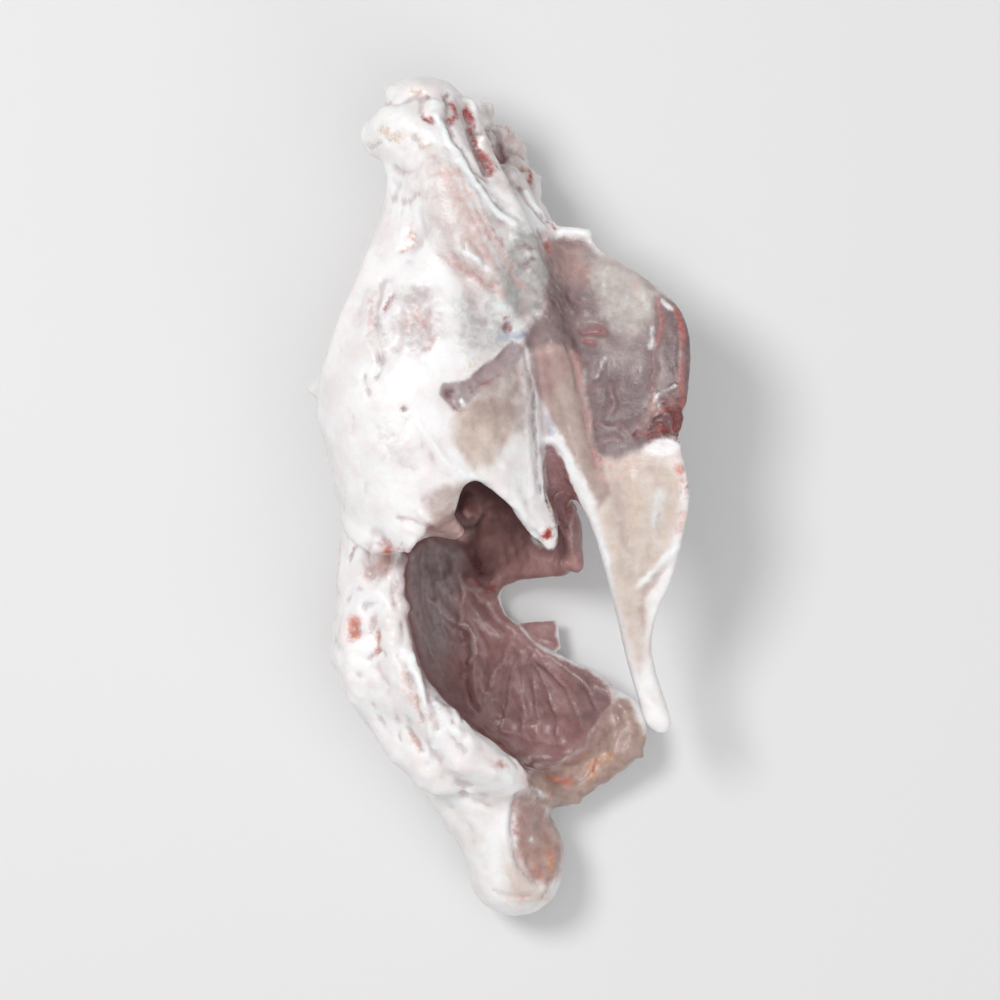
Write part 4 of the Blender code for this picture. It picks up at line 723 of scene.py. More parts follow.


# Paint: how strong, half width, and the line or spot, for each tissue and for the painted shade and highlights
MARKS = {
    "blood": (
        (1.0, 1.1, ((-20.3, 104.2), (-18.6, 103.6))),
        (0.85, 1.1, ((-9.6, 106.6), (-8, 104.6), (-7.6, 102.6))),
        (0.6, 1.2, ((-13.4, 108.6), (-12, 106), (-13.6, 103.4))),
        (0.7, 1.0, ((-8.4, 102), (-7, 98), (-5.8, 95))),
        (0.7, 1.6, ((-5, 93.4), (-3.4, 90.6))),
        (0.5, 1.0, ((2, 103.4), (3.4, 102))),
        (0.6, 1.2, ((8.4, 91), (8, 88.6))),
        (0.7, 0.7, ((13.6, 76.4), (15, 75))),
        (0.45, 1.0, ((11, 73), (13, 68.4))),
        (0.45, 0.8, ((-29.4, 55.2), (-31, 52.4))),
        (0.35, 0.9, ((-32.6, 47.4), (-33, 44.6))),
        (0.9, 0.9, ((1.6, 47.2), (2.6, 46.6))),
        (0.4, 0.8, ((1, 49.4), (2.4, 49.6))),
        (0.35, 0.7, ((-6.4, 30.2), (-3, 32.4), (0, 34.6))),
        (0.3, 0.7, ((4, 32), (5.8, 34.4))),
        (1.0, 1.9, ((13.4, -9.6),)),
        (0.8, 1.0, ((22.6, 46), (25, 46.6), (28, 46))),
        (0.7, 0.8, ((23, 43.6), (25.4, 43.4))),
        (0.3, 0.9, ((42.6, 56.4), (43.8, 50), (43.2, 44), (42, 41))),
        (0.45, 0.6, ((41.9, 39), (41.8, 35), (41.6, 30))),
        (0.25, 1.0, ((48.4, 53), (50.2, 46), (49.8, 38), (49.6, 31), (50.4, 26))),
        (0.3, 1.3, ((51.6, 23), (51.4, 18.4))),
        (0.55, 1.0, ((43.6, 19.6), (47.4, 19.8))),
        (0.5, 0.8, ((44, 24.6), (46.4, 25.2), (48, 23.6))),
        (0.5, 1.1, ((51, 14), (51.4, 6), (50.4, 1))),
        (0.25, 1.3, ((36.6, 18.6), (40, 17.8), (43, 16.8))),
        (0.4, 1.2, ((25.6, 12.4), (28.2, 9.6))),
        (0.3, 0.9, ((21.4, 37), (22.2, 30), (23.4, 22), (25.2, 13))),
        (0.5, 1.3, ((-30.2, -11.4), (-30.6, -14.4))),
        (0.55, 0.6, ((-41.4, -16), (-39.7, -13.4))),
        (0.35, 1.0, ((-42.4, 2), (-42.8, -2))),
        (0.2, 1.0, ((-11.6, -5), (-9.4, -1), (-8.4, 2))),
        (0.75, 1.3, ((-9.2, -12), (-7.4, -16.6), (-4.8, -20.4))),
        (0.6, 1.2, ((-6.8, -22.4), (-3.6, -25), (-1.6, -24.4))),
        (0.6, 1.8, ((-10, -45.4), (-10.6, -51), (-9, -57))),
        (0.45, 1.6, ((-9.8, -38.2),)),
        (0.2, 0.8, ((-33.8, -36.6), (-33.6, -40.4))),
        (0.2, 0.9, ((-35.6, -43.6), (-33.2, -41.4))),
        (0.15, 0.9, ((-25.2, -63.8), (-21.9, -69.2))),
        (0.4, 0.6, ((-13, -61),)),
        (0.35, 1.1, ((0.6, -73.7),)),
        (0.5, 0.9, ((12.6, -77.4), (15, -77.8))),
        (0.45, 0.9, ((26.4, -76), (26.8, -73.6))),
        (0.35, 1.2, ((5.2, -89), (4.2, -92))),
        (0.45, 1.0, ((9.4, -103.6), (11, -104.4))),
        (0.5, 0.7, ((11.4, -111.4), (12.6, -109.2))),
        (0.3, 0.8, ((-0.5, -109.8), (3.6, -110.6), (7.6, -110.2))),
        (0.5, 1.6, ((-45, 34, 22), (-44, 20, 22))),
        (0.45, 2.0, ((-36, 60, 12), (-33, 48, 8))),
        (0.4, 1.6, ((-40, -10, 14), (-40, -26, 12))),
        (0.4, 2.2, ((-26, 98, 20), (-18, 100, 22))),
    ),
    # Painted shade, dark red: in pits, holes, slits and grooves, beside and under ridges, and along the edges of the
    # gap beside the prong
    "pit_shade": (
        (0.9, 1.0, ((-14.8, 111.3),)),
        (0.5, 0.8, ((-20, 110.8), (-21, 107.6), (-20.6, 105.4))),
        (0.5, 0.8, ((-14.4, 106), (-12.8, 100), (-10.4, 95.6))),
        (0.6, 1.3, ((-4.8, 93), (-3.2, 90.6))),
        (0.6, 0.8, ((17.4, 71.2), (20.4, 70.4), (22.6, 70.4))),
        (0.4, 0.7, ((5.4, 86), (8.6, 81), (12.6, 76.6))),
        (0.6, 0.7, ((6.6, 69.6), (9, 68.6))),
        (0.5, 0.7, ((6.8, 64), (9.6, 66.2))),
        (0.55, 0.9, ((20.2, 55.4), (21.6, 53.8))),
        (0.35, 1.4, ((14.6, 54.4), (14.8, 51.6))),
        (0.9, 1.5, ((-14, 28.8),)),
        (0.5, 1.0, ((-12.4, 25.6), (-10.4, 24.4))),
        (0.45, 0.9, ((-8.6, 31.4), (-7.4, 29.6))),
        (0.7, 0.8, ((-26, 24.5),)),
        (0.35, 0.7, ((-37, 33), (-36.2, 29.6))),
        (0.5, 0.7, ((41.9, 39.6), (41.8, 35), (41.6, 30.6))),
        (0.4, 0.9, ((30.6, 30.6), (30.4, 26))),
        (0.95, 2.0, ((45.6, 21.6),)),
        (0.6, 1.0, ((41.4, 20.6), (42.6, 22.4))),
        (0.55, 0.9, ((45, 26.4), (48.6, 25.6))),
        (0.9, 1.1, ((50.4, 24.2),)),
        (0.85, 1.0, ((48.4, 17.8),)),
        (0.5, 0.8, ((42.6, 19), (41, 17.4))),
        (0.5, 0.9, ((36.2, 17.6), (37.4, 19.8), (39.4, 19.2))),
        (0.4, 0.9, ((27.4, 20.4), (31, 19.4), (34, 19.6))),
        (0.7, 0.7, ((22.8, 46.2), (27.4, 46.2))),
        (0.6, 1.4, ((-8.8, -13), (-7.2, -17.4), (-5, -20.6))),
        (0.5, 2.0, ((-9.8, -46), (-10.4, -52), (-9, -57))),
        (0.5, 1.3, ((-9.8, -38.2),)),
        (0.35, 0.9, ((-16.2, -15), (-14.8, -18.6), (-16, -21.4))),
        (0.3, 0.7, ((-11.6, -6.2), (-9.6, -7.4), (-6.6, -6.4))),
        (0.75, 0.7, ((12.6, 14.6), (12, 9), (12.2, 3), (13.6, -3), (15.4, -8))),
        (0.65, 0.7, ((14, 14.4), (16.6, 9.6), (19.4, 4), (22, -2), (23.4, -6))),
    ),
    "ochre": (
        (0.55, 2.2, ((-32.4, 101.4), (-30, 99.6), (-27.6, 99.4))),
        (0.6, 1.2, ((-21.6, 98), (-19.8, 96.6))),
        (0.5, 1.3, ((-24, 112), (-20.8, 111.2))),
        (0.6, 1.0, ((-24, 72.4), (-23, 70.4), (-26.4, 68.4))),
        (0.5, 1.4, ((4.6, 92.6), (6.4, 91.6))),
        (0.25, 2.2, ((-7.2, 37.4), (-9.6, 34))),
        (0.25, 2.4, ((-8, 14),)),
        (0.35, 2.2, ((-31, -14), (-33, -19), (-36, -20.6))),
        (0.3, 1.6, ((-26.4, -47), (-25, -52), (-22.6, -55.4))),
        (0.3, 1.4, ((-20.6, -57.4), (-19, -60.6))),
        (0.3, 1.8, ((12.6, -77.2), (16, -78.4), (18.8, -78.6))),
        (0.6, 1.5, ((22, -73), (24.6, -71.6))),
        (0.5, 2.0, ((25.6, -77.4), (26.4, -74.4), (28.6, -73), (30.6, -72))),
        (0.4, 1.2, ((13.8, -82.4), (14.2, -84))),
        (0.5, 1.6, ((14.2, -100), (14.6, -103))),
        (0.35, 1.2, ((39.8, -64), (40.4, -68))),
        (0.25, 2.0, ((36, 4), (37, -6))),
    ),
    # Painted shade, soft: in grooves, dimples, slits and hollows
    "soft_shade": (
        (0.65, 1.5, ((20, 44.4), (22, 38), (23.6, 31), (24.8, 24), (26.4, 18.4))),
        (0.4, 3.6, ((34, 28), (30, 23.6), (37, 24.6))),
        (0.6, 1.2, ((30.5, 31), (30.6, 25.6))),
        (0.55, 0.8, ((41.9, 40.4), (41.7, 35.4), (41.2, 30.6))),
        (0.6, 1.4, ((14, 57.4), (15.4, 50.8))),
        (0.45, 1.1, ((9, 58), (11, 52.6))),
        (0.6, 1.0, ((20, 56.4), (22, 53.4))),
        (0.5, 1.2, ((8, 42), (6.8, 46), (9.6, 50.4))),
        (0.55, 0.8, ((6.5, 41), (8, 36), (8.8, 30), (9.5, 20), (10, 10), (11, 2))),
        (0.6, 2.4, ((-9.2, -12.6), (-7.2, -17), (-4.8, -20.8))),
        (0.6, 2.0, ((-10, -45), (-10.6, -51), (-9, -57.4))),
        (0.55, 1.7, ((-9.8, -38.2),)),
        (0.45, 1.6, ((-20.4, -13), (-20.8, -20), (-19.6, -28))),
        (0.5, 1.3, ((-16, -15), (-14.8, -18.6), (-16, -21.4), (-13.4, -25))),
        (0.4, 1.8, ((-4.6, -40), (-3.4, -44.4), (-5, -48.4))),
        (0.35, 1.8, ((-17.4, -35.4), (-14, -42))),
        (0.35, 1.4, ((9.6, -9.4), (12, -14.4), (16.8, -14.4))),
        (0.4, 0.9, ((-11.8, -6.2), (-9.6, -7.6), (-6.6, -6.6), (-5, -4.4))),
        (0.4, 1.0, ((26.4, -65.4), (24, -68.6), (20, -71.8))),
        (0.35, 1.8, ((24, 55), (27, 51), (31, 45))),
        (0.4, 1.4, ((46.6, 49), (46.6, 44))),
    ),
    "glassy": (
        (0.6, 2.6, ((-10, 91), (-5, 85), (0, 79.6), (5, 73))),
        (0.55, 1.8, ((-16, 104), (-14, 99), (-11, 94.4))),
        (0.45, 3.0, ((43.4, 2), (43.6, -5))),
        (0.6, 2.6, ((33, 58), (36, 53))),
        (0.6, 1.8, ((8.8, -92), (9.6, -96))),
        (0.35, 3.0, ((-33, 38), (-31, 44))),
        (0.4, 1.8, ((-25, -47), (-22.8, -51))),
    ),
    "bluish": (
        (0.95, 1.5, ((13.2, 22), (14, 18.6))),
        (0.85, 1.6, ((0.6, 44.4), (5.4, 45))),
        (0.5, 1.6, ((-18.4, 108.6),)),
        (0.5, 1.2, ((-16.4, 104), (-14.2, 99.6))),
        (0.4, 1.0, ((9.4, 37), (9, 26), (9.6, 14), (10.4, 4))),
    ),
    "blush": (
        (0.75, 0.9, ((43.2, 55.6), (44.4, 50), (44, 46), (42.8, 42.4))),
        (0.8, 1.1, ((48.4, 52.4), (49.8, 46), (49.6, 39), (49.4, 31), (50, 26))),
        (0.4, 1.2, ((42.6, 23.6), (46.4, 26.4), (50, 26))),
        (0.45, 0.9, ((48.2, 20.6), (50.4, 18.4))),
        (0.3, 1.4, ((36.6, 18.8), (40, 18.2), (43, 17))),
        (0.6, 1.2, ((51.2, 14), (51.8, 6), (50.8, 1))),
        (0.5, 1.5, ((12, 73), (14, 68), (17, 63.6))),
        (0.35, 1.6, ((22, 63), (24, 57.6))),
        (0.4, 1.2, ((20.4, 40.8), (21.8, 37), (22.2, 33))),
        (0.75, 1.1, ((22.8, 46.8), (28, 46.8))),
        (0.5, 1.0, ((23.4, 43.8), (26, 43.6))),
        (0.26, 2.0, ((-14, 65.4), (-8, 62), (-2, 58.2))),
        (0.4, 1.3, ((-4, 78), (0, 71), (3.4, 64.6))),
        (0.7, 1.2, ((-13.4, 108.6), (-12, 106), (-13.6, 103.4))),
        (0.6, 1.3, ((-8.6, 103), (-7, 98))),
        (0.95, 2.0, ((-5.4, 94.4), (-3, 90.4))),
        (0.4, 1.8, ((-2.6, 97), (0.6, 93.4))),
        (0.65, 1.1, ((8.2, 91.8), (8.8, 88.4))),
        (0.45, 0.9, ((2, 103.4), (3.6, 101.8))),
        (0.6, 1.8, ((-30.6, -11.6), (-30.8, -15), (-32, -19))),
        (0.35, 1.4, ((-8.6, -1.8),)),
        (0.4, 0.9, ((-6, 30.4), (-3, 32.4), (0, 34.8))),
        (0.45, 0.8, ((4.6, -83), (3.4, -87.6), (4.2, -92.4))),
    ),
    "coral": (
        (1.0, 1.9, ((-40.2, -34.4), (-40.4, -37.2))),
        (0.75, 1.9, ((-8.6, -1.8),)),
        (0.95, 1.7, ((12.6, -77.2), (16, -78.4), (18.8, -78.8))),
        (0.5, 1.7, ((25.6, -77.4), (26.6, -73.8))),
        (0.5, 1.3, ((21.8, -72.8), (24.4, -71.4))),
        (0.5, 1.0, ((13.8, -82.4), (14.4, -83.8))),
        (0.7, 1.4, ((14.2, -98.8), (14.8, -102))),
        (0.6, 1.2, ((10.4, -103.4), (11.2, -104.8))),
        (0.95, 1.4, ((13.4, -8.6),)),
        (0.4, 1.2, ((25.2, 13.4), (26.6, 9.2))),
        (0.35, 1.2, ((4.2, 33), (5.8, 34.6))),
        (0.3, 1.4, ((20.6, 39.6), (21.8, 35.6))),
        (0.4, 1.3, ((-24, 72), (-23.2, 70.2), (-25.8, 68.6))),
        (0.45, 1.2, ((48.8, 9), (49.8, 4.6))),
        (0.5, 1.1, ((0.8, -73.7),)),
        (0.3, 1.2, ((40, -65), (40.8, -69))),
        (0.3, 1.0, ((-26.4, -52), (-23.4, -55.4), (-21.8, -61))),
        (0.35, 1.2, ((-33.4, -36.6), (-33.2, -41.4))),
        (0.3, 1.0, ((-25, -64), (-22.2, -69))),
    ),
    # White sinew and gristle, with painted highlights: glints and bright lines where the wet surface catches the light
    "sinew_and_highlight": (
        (0.9, 1.3, ((-17, 105), (-14.6, 99.5), (-11.4, 94), (-8, 88.5), (-4.8, 84), (-1.2, 79.5), (3.6, 75.8))),
        (0.9, 2.0, ((-18.4, 108),)),
        (0.7, 1.7, ((-4, 104.6),)),
        (0.9, 1.0, ((-5, 99.6),)),
        (0.9, 1.0, ((-2.6, 99.2),)),
        (0.85, 1.0, ((2.8, 94.8),)),
        # Painted highlight on this lump
        (0.45, 1.6, ((3.2, 89),)),
        (0.5, 1.3, ((4.8, 99),)),
        (0.6, 0.7, ((-10, 110), (-8, 109.4), (-6.8, 107.6))),
        (0.7, 0.6, ((-6, 85.6), (-4.6, 84.4))),
        (0.7, 0.7, ((-3.2, 83.4), (-1.8, 82))),
        (0.95, 1.2, ((17.4, 74), (20.6, 74), (24, 73.6))),
        (0.9, 0.8, ((6.8, 85), (9.8, 80.8), (14.2, 76.3))),
        # Painted highlight on the wet surface
        (0.7, 1.5, ((7.8, 67.4),)),
        (0.6, 1.3, ((-11.4, 68.6), (-7, 65.6), (-3, 62.4))),
        (0.6, 1.6, ((0, 52.4), (2.6, 52))),
        (0.3, 1.2, ((0.4, 45.8), (3.4, 45), (5, 46.8))),
        # Painted highlights: glints by the groove's pit, and bright lines along the rib's rim and the fan's rim
        (0.95, 0.9, ((-10.6, 27.2), (-10, 26))),
        (0.7, 1.1, ((-21.8, 20.5), (-17, 13.2), (-12.5, 8.6), (-9.2, 6.8))),
        (0.8, 1.2, ((-9, 6.6), (-3, 3.6), (3, -1.2), (7.4, -7), (10.6, -12), (13, -13))),
        (0.85, 1.5, ((11.6, 16.6), (14.4, 16), (18, 11.4), (21.2, 5.4), (23.6, 0), (25.8, -6), (28, -14), (30.8, -26), (34, -40), (37, -54))),
        (0.3, 1.2, ((29.6, 65), (28.6, 58), (27.8, 50.5))),
        # Painted highlights on the keel plate
        (0.4, 1.8, ((34.6, 55.6),)),
        (0.6, 0.7, ((28.2, 38.6), (27.4, 36.6))),
        (0.6, 0.6, ((26.8, 34.4), (26.2, 33.4))),
        (0.5, 1.3, ((38.6, 57), (40.4, 53))),
        (0.6, 1.0, ((41.8, 47), (41.4, 42))),
        (0.8, 0.6, ((42, 27), (43.6, 28.8), (45.6, 29.8), (47.6, 31.2))),
        (0.6, 0.5, ((43.6, 30.6), (42.2, 29.2), (43.2, 25.6))),
        (0.7, 0.9, ((44.4, 54.6), (47, 52.4))),
        (0.7, 1.2, ((41, 13.4), (44, 12.6))),
        (0.9, 1.3, ((38.2, -23.4), (42, -19.6), (45.6, -16), (48.6, -12.8))),
        (0.6, 2.4, ((43.4, 2), (43.6, -5))),
        (0.3, 1.0, ((-23.4, -11), (-26.4, -15.4), (-27.6, -21), (-27.2, -27), (-25.2, -32))),
        (0.8, 1.2, ((-24, -43), (-22.2, -49), (-20.8, -55), (-19.8, -61), (-18.4, -67.4))),
        (0.6, 1.0, ((9, -80), (13, -83))),
        (0.5, 1.4, ((9, -94.6),)),
        (0.5, 1.6, ((-27.6, 52.4),)),
        (0.5, 1.4, ((-29.6, 44),)),
        # Painted glint on a white lump
        (0.5, 1.2, ((-20.2, 53.2),)),
    ),
    "pale": (
        (0.75, 0.8, ((-21, -26.8), (-18, -30), (-15.2, -32.6), (-12, -34.6), (-9, -36), (-7, -38.8), (-7, -42.6), (-8.8, -45.8))),
        (0.45, 1.0, ((-12.4, -18.6), (-11.4, -22.6), (-10.2, -27), (-10.8, -33))),
        (0.3, 2.4, ((-22.6, -13), (-24.4, -21), (-23.6, -29), (-21.4, -35))),
        (0.35, 0.9, ((-8.8, -23), (-5, -28.6), (0.4, -34), (5.8, -37.4))),
        (0.35, 0.7, ((3.4, -38.4), (1.6, -43.4), (-1.4, -49), (-4, -56))),
        (0.35, 0.6, ((5.6, -43), (3.4, -50), (2.4, -58), (0.6, -64))),
        (0.4, 0.6, ((6.6, -42.4), (6.4, -50), (6.8, -58), (6.4, -66))),
        (0.35, 0.6, ((8, -45.4), (9.8, -53), (10.4, -60), (10.8, -67))),
        (0.4, 0.6, ((8.8, -44.6), (13, -51.4), (15.6, -59), (16.4, -66))),
        (0.35, 0.6, ((9.6, -43.8), (16, -49.4), (20.4, -56), (22.4, -63))),
        (0.35, 0.7, ((10.4, -41.8), (18, -46.4), (24.4, -52), (27.4, -58.4))),
        (0.4, 0.9, ((9.4, -38.6), (18, -43), (26, -48.6), (31, -53.6))),
        (0.35, 0.7, ((0.4, -65), (6, -66.4), (12, -68.6), (18, -68.4))),
        (0.5, 1.0, ((30.4, -50.6), (31.8, -53), (31.4, -56.4))),
        (0.45, 0.9, ((20.4, -2), (19.6, -7), (19.6, -12), (20.6, -17))),
        (0.4, 0.9, ((7.4, -13.4), (9.4, -16), (13.6, -17), (19.4, -17.6))),
        (0.5, 1.2, ((-12, -8.6), (-10.4, -10), (-8, -9))),
        (0.5, 2.0, ((-8.6, -2.6),)),
        (0.3, 2.2, ((0.6, -38), (3, -41))),
        (0.3, 1.2, ((-16.4, -17.6), (-15.6, -19.4))),
        (0.3, 1.0, ((-3, -22.6),)),
    ),
    "pink": (
        (0.4, 2.6, ((-16, 90), (-9, 77), (-2, 64))),
        (0.4, 2.0, ((-16, 67), (-10, 62.8), (-5, 59.6), (0, 56.6))),
        (0.5, 1.4, ((-6.4, 78), (-2, 71), (2.4, 64), (6, 58))),
        (0.4, 2.6, ((2.6, 101), (6, 98))),
        (0.6, 1.8, ((-2, 96.4), (0.4, 93))),
        (0.45, 5.0, ((-22.4, 49),)),
        (0.35, 2.4, ((-18.6, 43),)),
        (0.35, 1.8, ((-35.6, 54), (-35.2, 44))),
        (0.4, 2.4, ((12.4, 69.4), (15, 64.6), (20, 63.4), (24, 61.6))),
        (0.35, 2.0, ((36.4, 60), (38.6, 56))),
        (0.4, 2.6, ((26.4, 47),)),
        (0.5, 1.6, ((19.4, 40), (21.6, 33), (23.2, 24), (25.4, 13))),
        (0.35, 1.4, ((11, 40), (16, 41.4))),
        (0.4, 2.0, ((26.8, 10.6), (30, 10), (35, 11.6))),
        (0.5, 1.6, ((42, 30), (41.4, 24), (38, 20))),
        (0.5, 1.8, ((48.4, 12), (49.6, 4))),
        (0.4, 2.2, ((49.4, -4), (48.6, -10))),
        (0.25, 1.4, ((12.4, 3), (13.4, -3), (14.4, -7.6))),
        (0.35, 3.0, ((-30.6, -13), (-32, -18))),
        (0.85, 1.8, ((-12, -7.8), (-9.8, -10.4))),
        (0.6, 2.6, ((-40, -33.4), (-40.4, -38))),
        (0.4, 1.6, ((-29, -24), (-28.6, -29.4))),
        (0.35, 1.5, ((-33.8, -30.4), (-35.6, -35.6))),
        (0.4, 1.4, ((-33.8, -37), (-33.8, -42))),
        (0.45, 1.8, ((-26.6, -46), (-25.2, -52.4), (-22.8, -56))),
        (0.35, 1.6, ((-20.4, -57), (-18.6, -62))),
        (0.4, 1.4, ((-24.6, -64.6), (-22, -69))),
        (0.3, 1.8, ((-20, -66.4),)),
        (0.4, 2.0, ((-3, -70.6), (1.6, -74))),
        (0.35, 2.0, ((4.6, -74), (6.8, -78))),
        (0.95, 3.0, ((-9, -3),)),
        (0.35, 2.6, ((3, -110.8), (8, -110.4))),
        (0.35, 2.0, ((-26, 90), (-23, 88.4))),
        (0.5, 6.0, ((-20, 20, 3), (-10, 30, 3))),
        (0.5, 5.0, ((-36, -30, 8), (-30, -50, 5))),
        (0.45, 5.0, ((0, 50, 12), (8, 30, 18), (10, 10, 22))),
        (0.5, 4.0, ((-46, 10, 28), (-47, -20, 30))),
    ),
}


# Fibres: the mask or "relief" they go to, strength, half width, the two guide lines, how many, and a seed
FIBRES = (
    ("relief", 0.3, 0.6, ((-19, 95), (-16, 84), (-13, 74), (-11, 64)), ((-11, 92), (-6, 82), (0, 70), (5, 60)), 13, 1),
    ("relief", -0.3, 0.5, ((-19, 94), (-16, 83), (-13, 73), (-11, 65)), ((-11, 91), (-6, 81), (0, 70), (4, 60)), 13, 2),
    ("pink", 0.46, 0.7, ((-17, 93), (-14, 82), (-10, 72), (-6, 64)), ((-10, 91), (-5, 81), (1, 69), (5, 60)), 9, 3),
    ("relief", -0.3, 0.5, ((11, 74), (15, 65), (20, 57), (24, 49)), ((-2, 64), (4, 58), (12, 50), (20, 43)), 13, 4),
    ("pale", 0.4, 0.55, ((11, 74), (15, 65), (20, 57), (24, 49)), ((-2, 64), (4, 58), (12, 50), (20, 43)), 10, 5),
    # Painted shade in the grooves between these fibres
    ("soft_shade", 0.35, 0.6, ((11, 73), (15, 64), (20, 56), (23, 49)), ((2, 62), (6, 57), (12, 50), (19, 44)), 8, 6),
    ("relief", -0.35, 0.45, ((44.8, 52), (44.6, 41), (44.8, 31)), ((48.4, 50), (48.6, 40), (48.6, 31)), 5, 7),
    ("pale", 0.3, 0.4, ((45, 51), (44.8, 41), (45, 32)), ((48.2, 50), (48.4, 40), (48.2, 32)), 4, 8),
    ("relief", 0.4, 0.6, ((1, -44), (-4, -53), (-3, -62)), ((12, -42), (23, -48), (31, -53)), 16, 9),
    ("pale", 0.28, 0.5, ((1, -44), (-4, -53), (-3, -62)), ((12, -42), (23, -48), (31, -53)), 12, 10),
    # Painted shade between the fibres of the hips' floor
    ("soft_shade", 0.3, 0.7, ((0, -46), (-4, -54), (0, -63)), ((13, -45), (22, -51), (29, -57)), 9, 11),
    ("relief", -0.3, 0.8, ((-5, 0), (-1, -10), (2, -19)), ((6, -8), (12, -15), (19, -18)), 7, 12),
    # Painted shade between the fibres of the far flank's inner face
    ("soft_shade", 0.25, 0.9, ((-5, 0), (-1, -10), (2, -19)), ((6, -8), (12, -15), (19, -18)), 6, 13),
    ("relief", -0.2, 0.5, ((34, 2), (36, -12), (38, -28), (38, -44)), ((46, 6), (44, -8), (41, -26), (40, -44)), 5, 14),
    ("pale", 0.4, 0.5, ((-26, -15), (-26, -26), (-23, -38), (-17, -50)), ((-14, -14), (-13, -24), (-11, -34), (-9, -44)), 9, 15),
    ("relief", 0.35, 0.6, ((-26, -15), (-26, -26), (-23, -38), (-17, -50)), ((-14, -14), (-13, -24), (-11, -34), (-9, -44)), 9, 15),
    # Painted shade between the fibres of the near hip's inner wall
    ("soft_shade", 0.4, 0.8, ((-25, -15), (-25, -26), (-22, -38), (-16, -50)), ((-13, -14), (-12, -24), (-10, -34), (-8, -44)), 7, 16),
    ("blush", 0.3, 0.7, ((-10, -12), (-9, -18), (-5, -24)), ((-5, -12), (-3, -18), (0, -23)), 5, 17),
    ("relief", 0.5, 0.45, ((39, 18), (42, 20), (45, 19.4)), ((43, 26.6), (46.6, 27.6), (50.4, 25.4)), 7, 18),
    ("pale", 0.7, 0.32, ((39, 18), (42, 20), (45, 19.4)), ((43, 26.6), (46.6, 27.6), (50.4, 25.4)), 6, 19),
    ("relief", 0.3, 0.5, ((-30, 92), (-33, 78), (-36, 66)), ((-22, 90), (-23, 78), (-25, 66)), 6, 20),
    ("pink", 0.28, 0.9, ((-29, 88), (-31, 78), (-34, 68)), ((-22, 86), (-22, 77), (-23, 68)), 4, 21),
)


def paint(obj):
    """Lays the masks of the tissues and of the painted shade and highlights on the finished skin, one attribute for
    each.
    """
    skin = Skin(obj)
    above = skin.spread(skin.seen_from_above(), 2)
    hollow = skin.spread(inside_hollow(skin), 3)
    masks = {layer[0]: np.zeros(len(skin.points)) for layer in LAYERS}
    masks["membrane"] = hollow
    for tissue, marks in MARKS.items():
        for strength, width, line in marks:
            masks[tissue] = np.maximum(masks[tissue], strength * skin.near(line, width))
    for tissue, strength, width, first, last, count, seed in FIBRES:
        if tissue != "relief":
            for line in bundle(first, last, count, seed):
                masks[tissue] = np.maximum(masks[tissue], strength * skin.near(line, width))
    for tissue, strength, feather, outline in AREAS:
        masks[tissue] = np.maximum(masks[tissue], strength * skin.within(outline, feather) * above)
    # Painted shade: darker where the skin lies below its evened-out shape, in dents and creases
    crease_shade = dents(skin)
    far_edge = skin.within(FAR_HIP_EDGE, 1.2) * above
    masks["membrane"] *= 1 - far_edge
    unseen = (1 - above) * smoothstep(wavy(skin.points, 13, 50), -0.1, 0.5)
    masks["pink"] = np.maximum(masks["pink"], 0.4 * unseen * (1 - hollow))
    masks["crease_shade"] = smoothstep(crease_shade, 0.5, 2.8)
    for name, mask in masks.items():
        layer = obj.data.attributes.new(name, "FLOAT", "POINT")
        layer.data.foreach_set("value", np.clip(mask, 0, 1).astype(np.float32))


def dents(skin):
    """How far, in tenths of a millimetre, the skin lies below its own evened-out shape."""
    even = skin.spread(skin.points, 14)
    return 10 * np.sum((even - skin.points) * skin.normals, axis=1)


def node(tree, kind, settings=None, **links):
    """Adds a node, sets what is given by name, and links or sets its inputs."""
    made = tree.nodes.new(kind)
    for name, value in (settings or {}).items():
        setattr(made, name, value)
    for name, value in links.items():
        key = int(name[1:]) if name[0] == "i" and name[1:].isdigit() else name.replace("_", " ")
        socket = made.inputs[key]
        if isinstance(value, bpy.types.NodeSocket):
            tree.links.new(value, socket)
        else:
            socket.default_value = value
    return made


# Sizes of the grain that the tissues share, in millimetres
GRAIN_SIZES = (1.2, 2.4, 4.0)

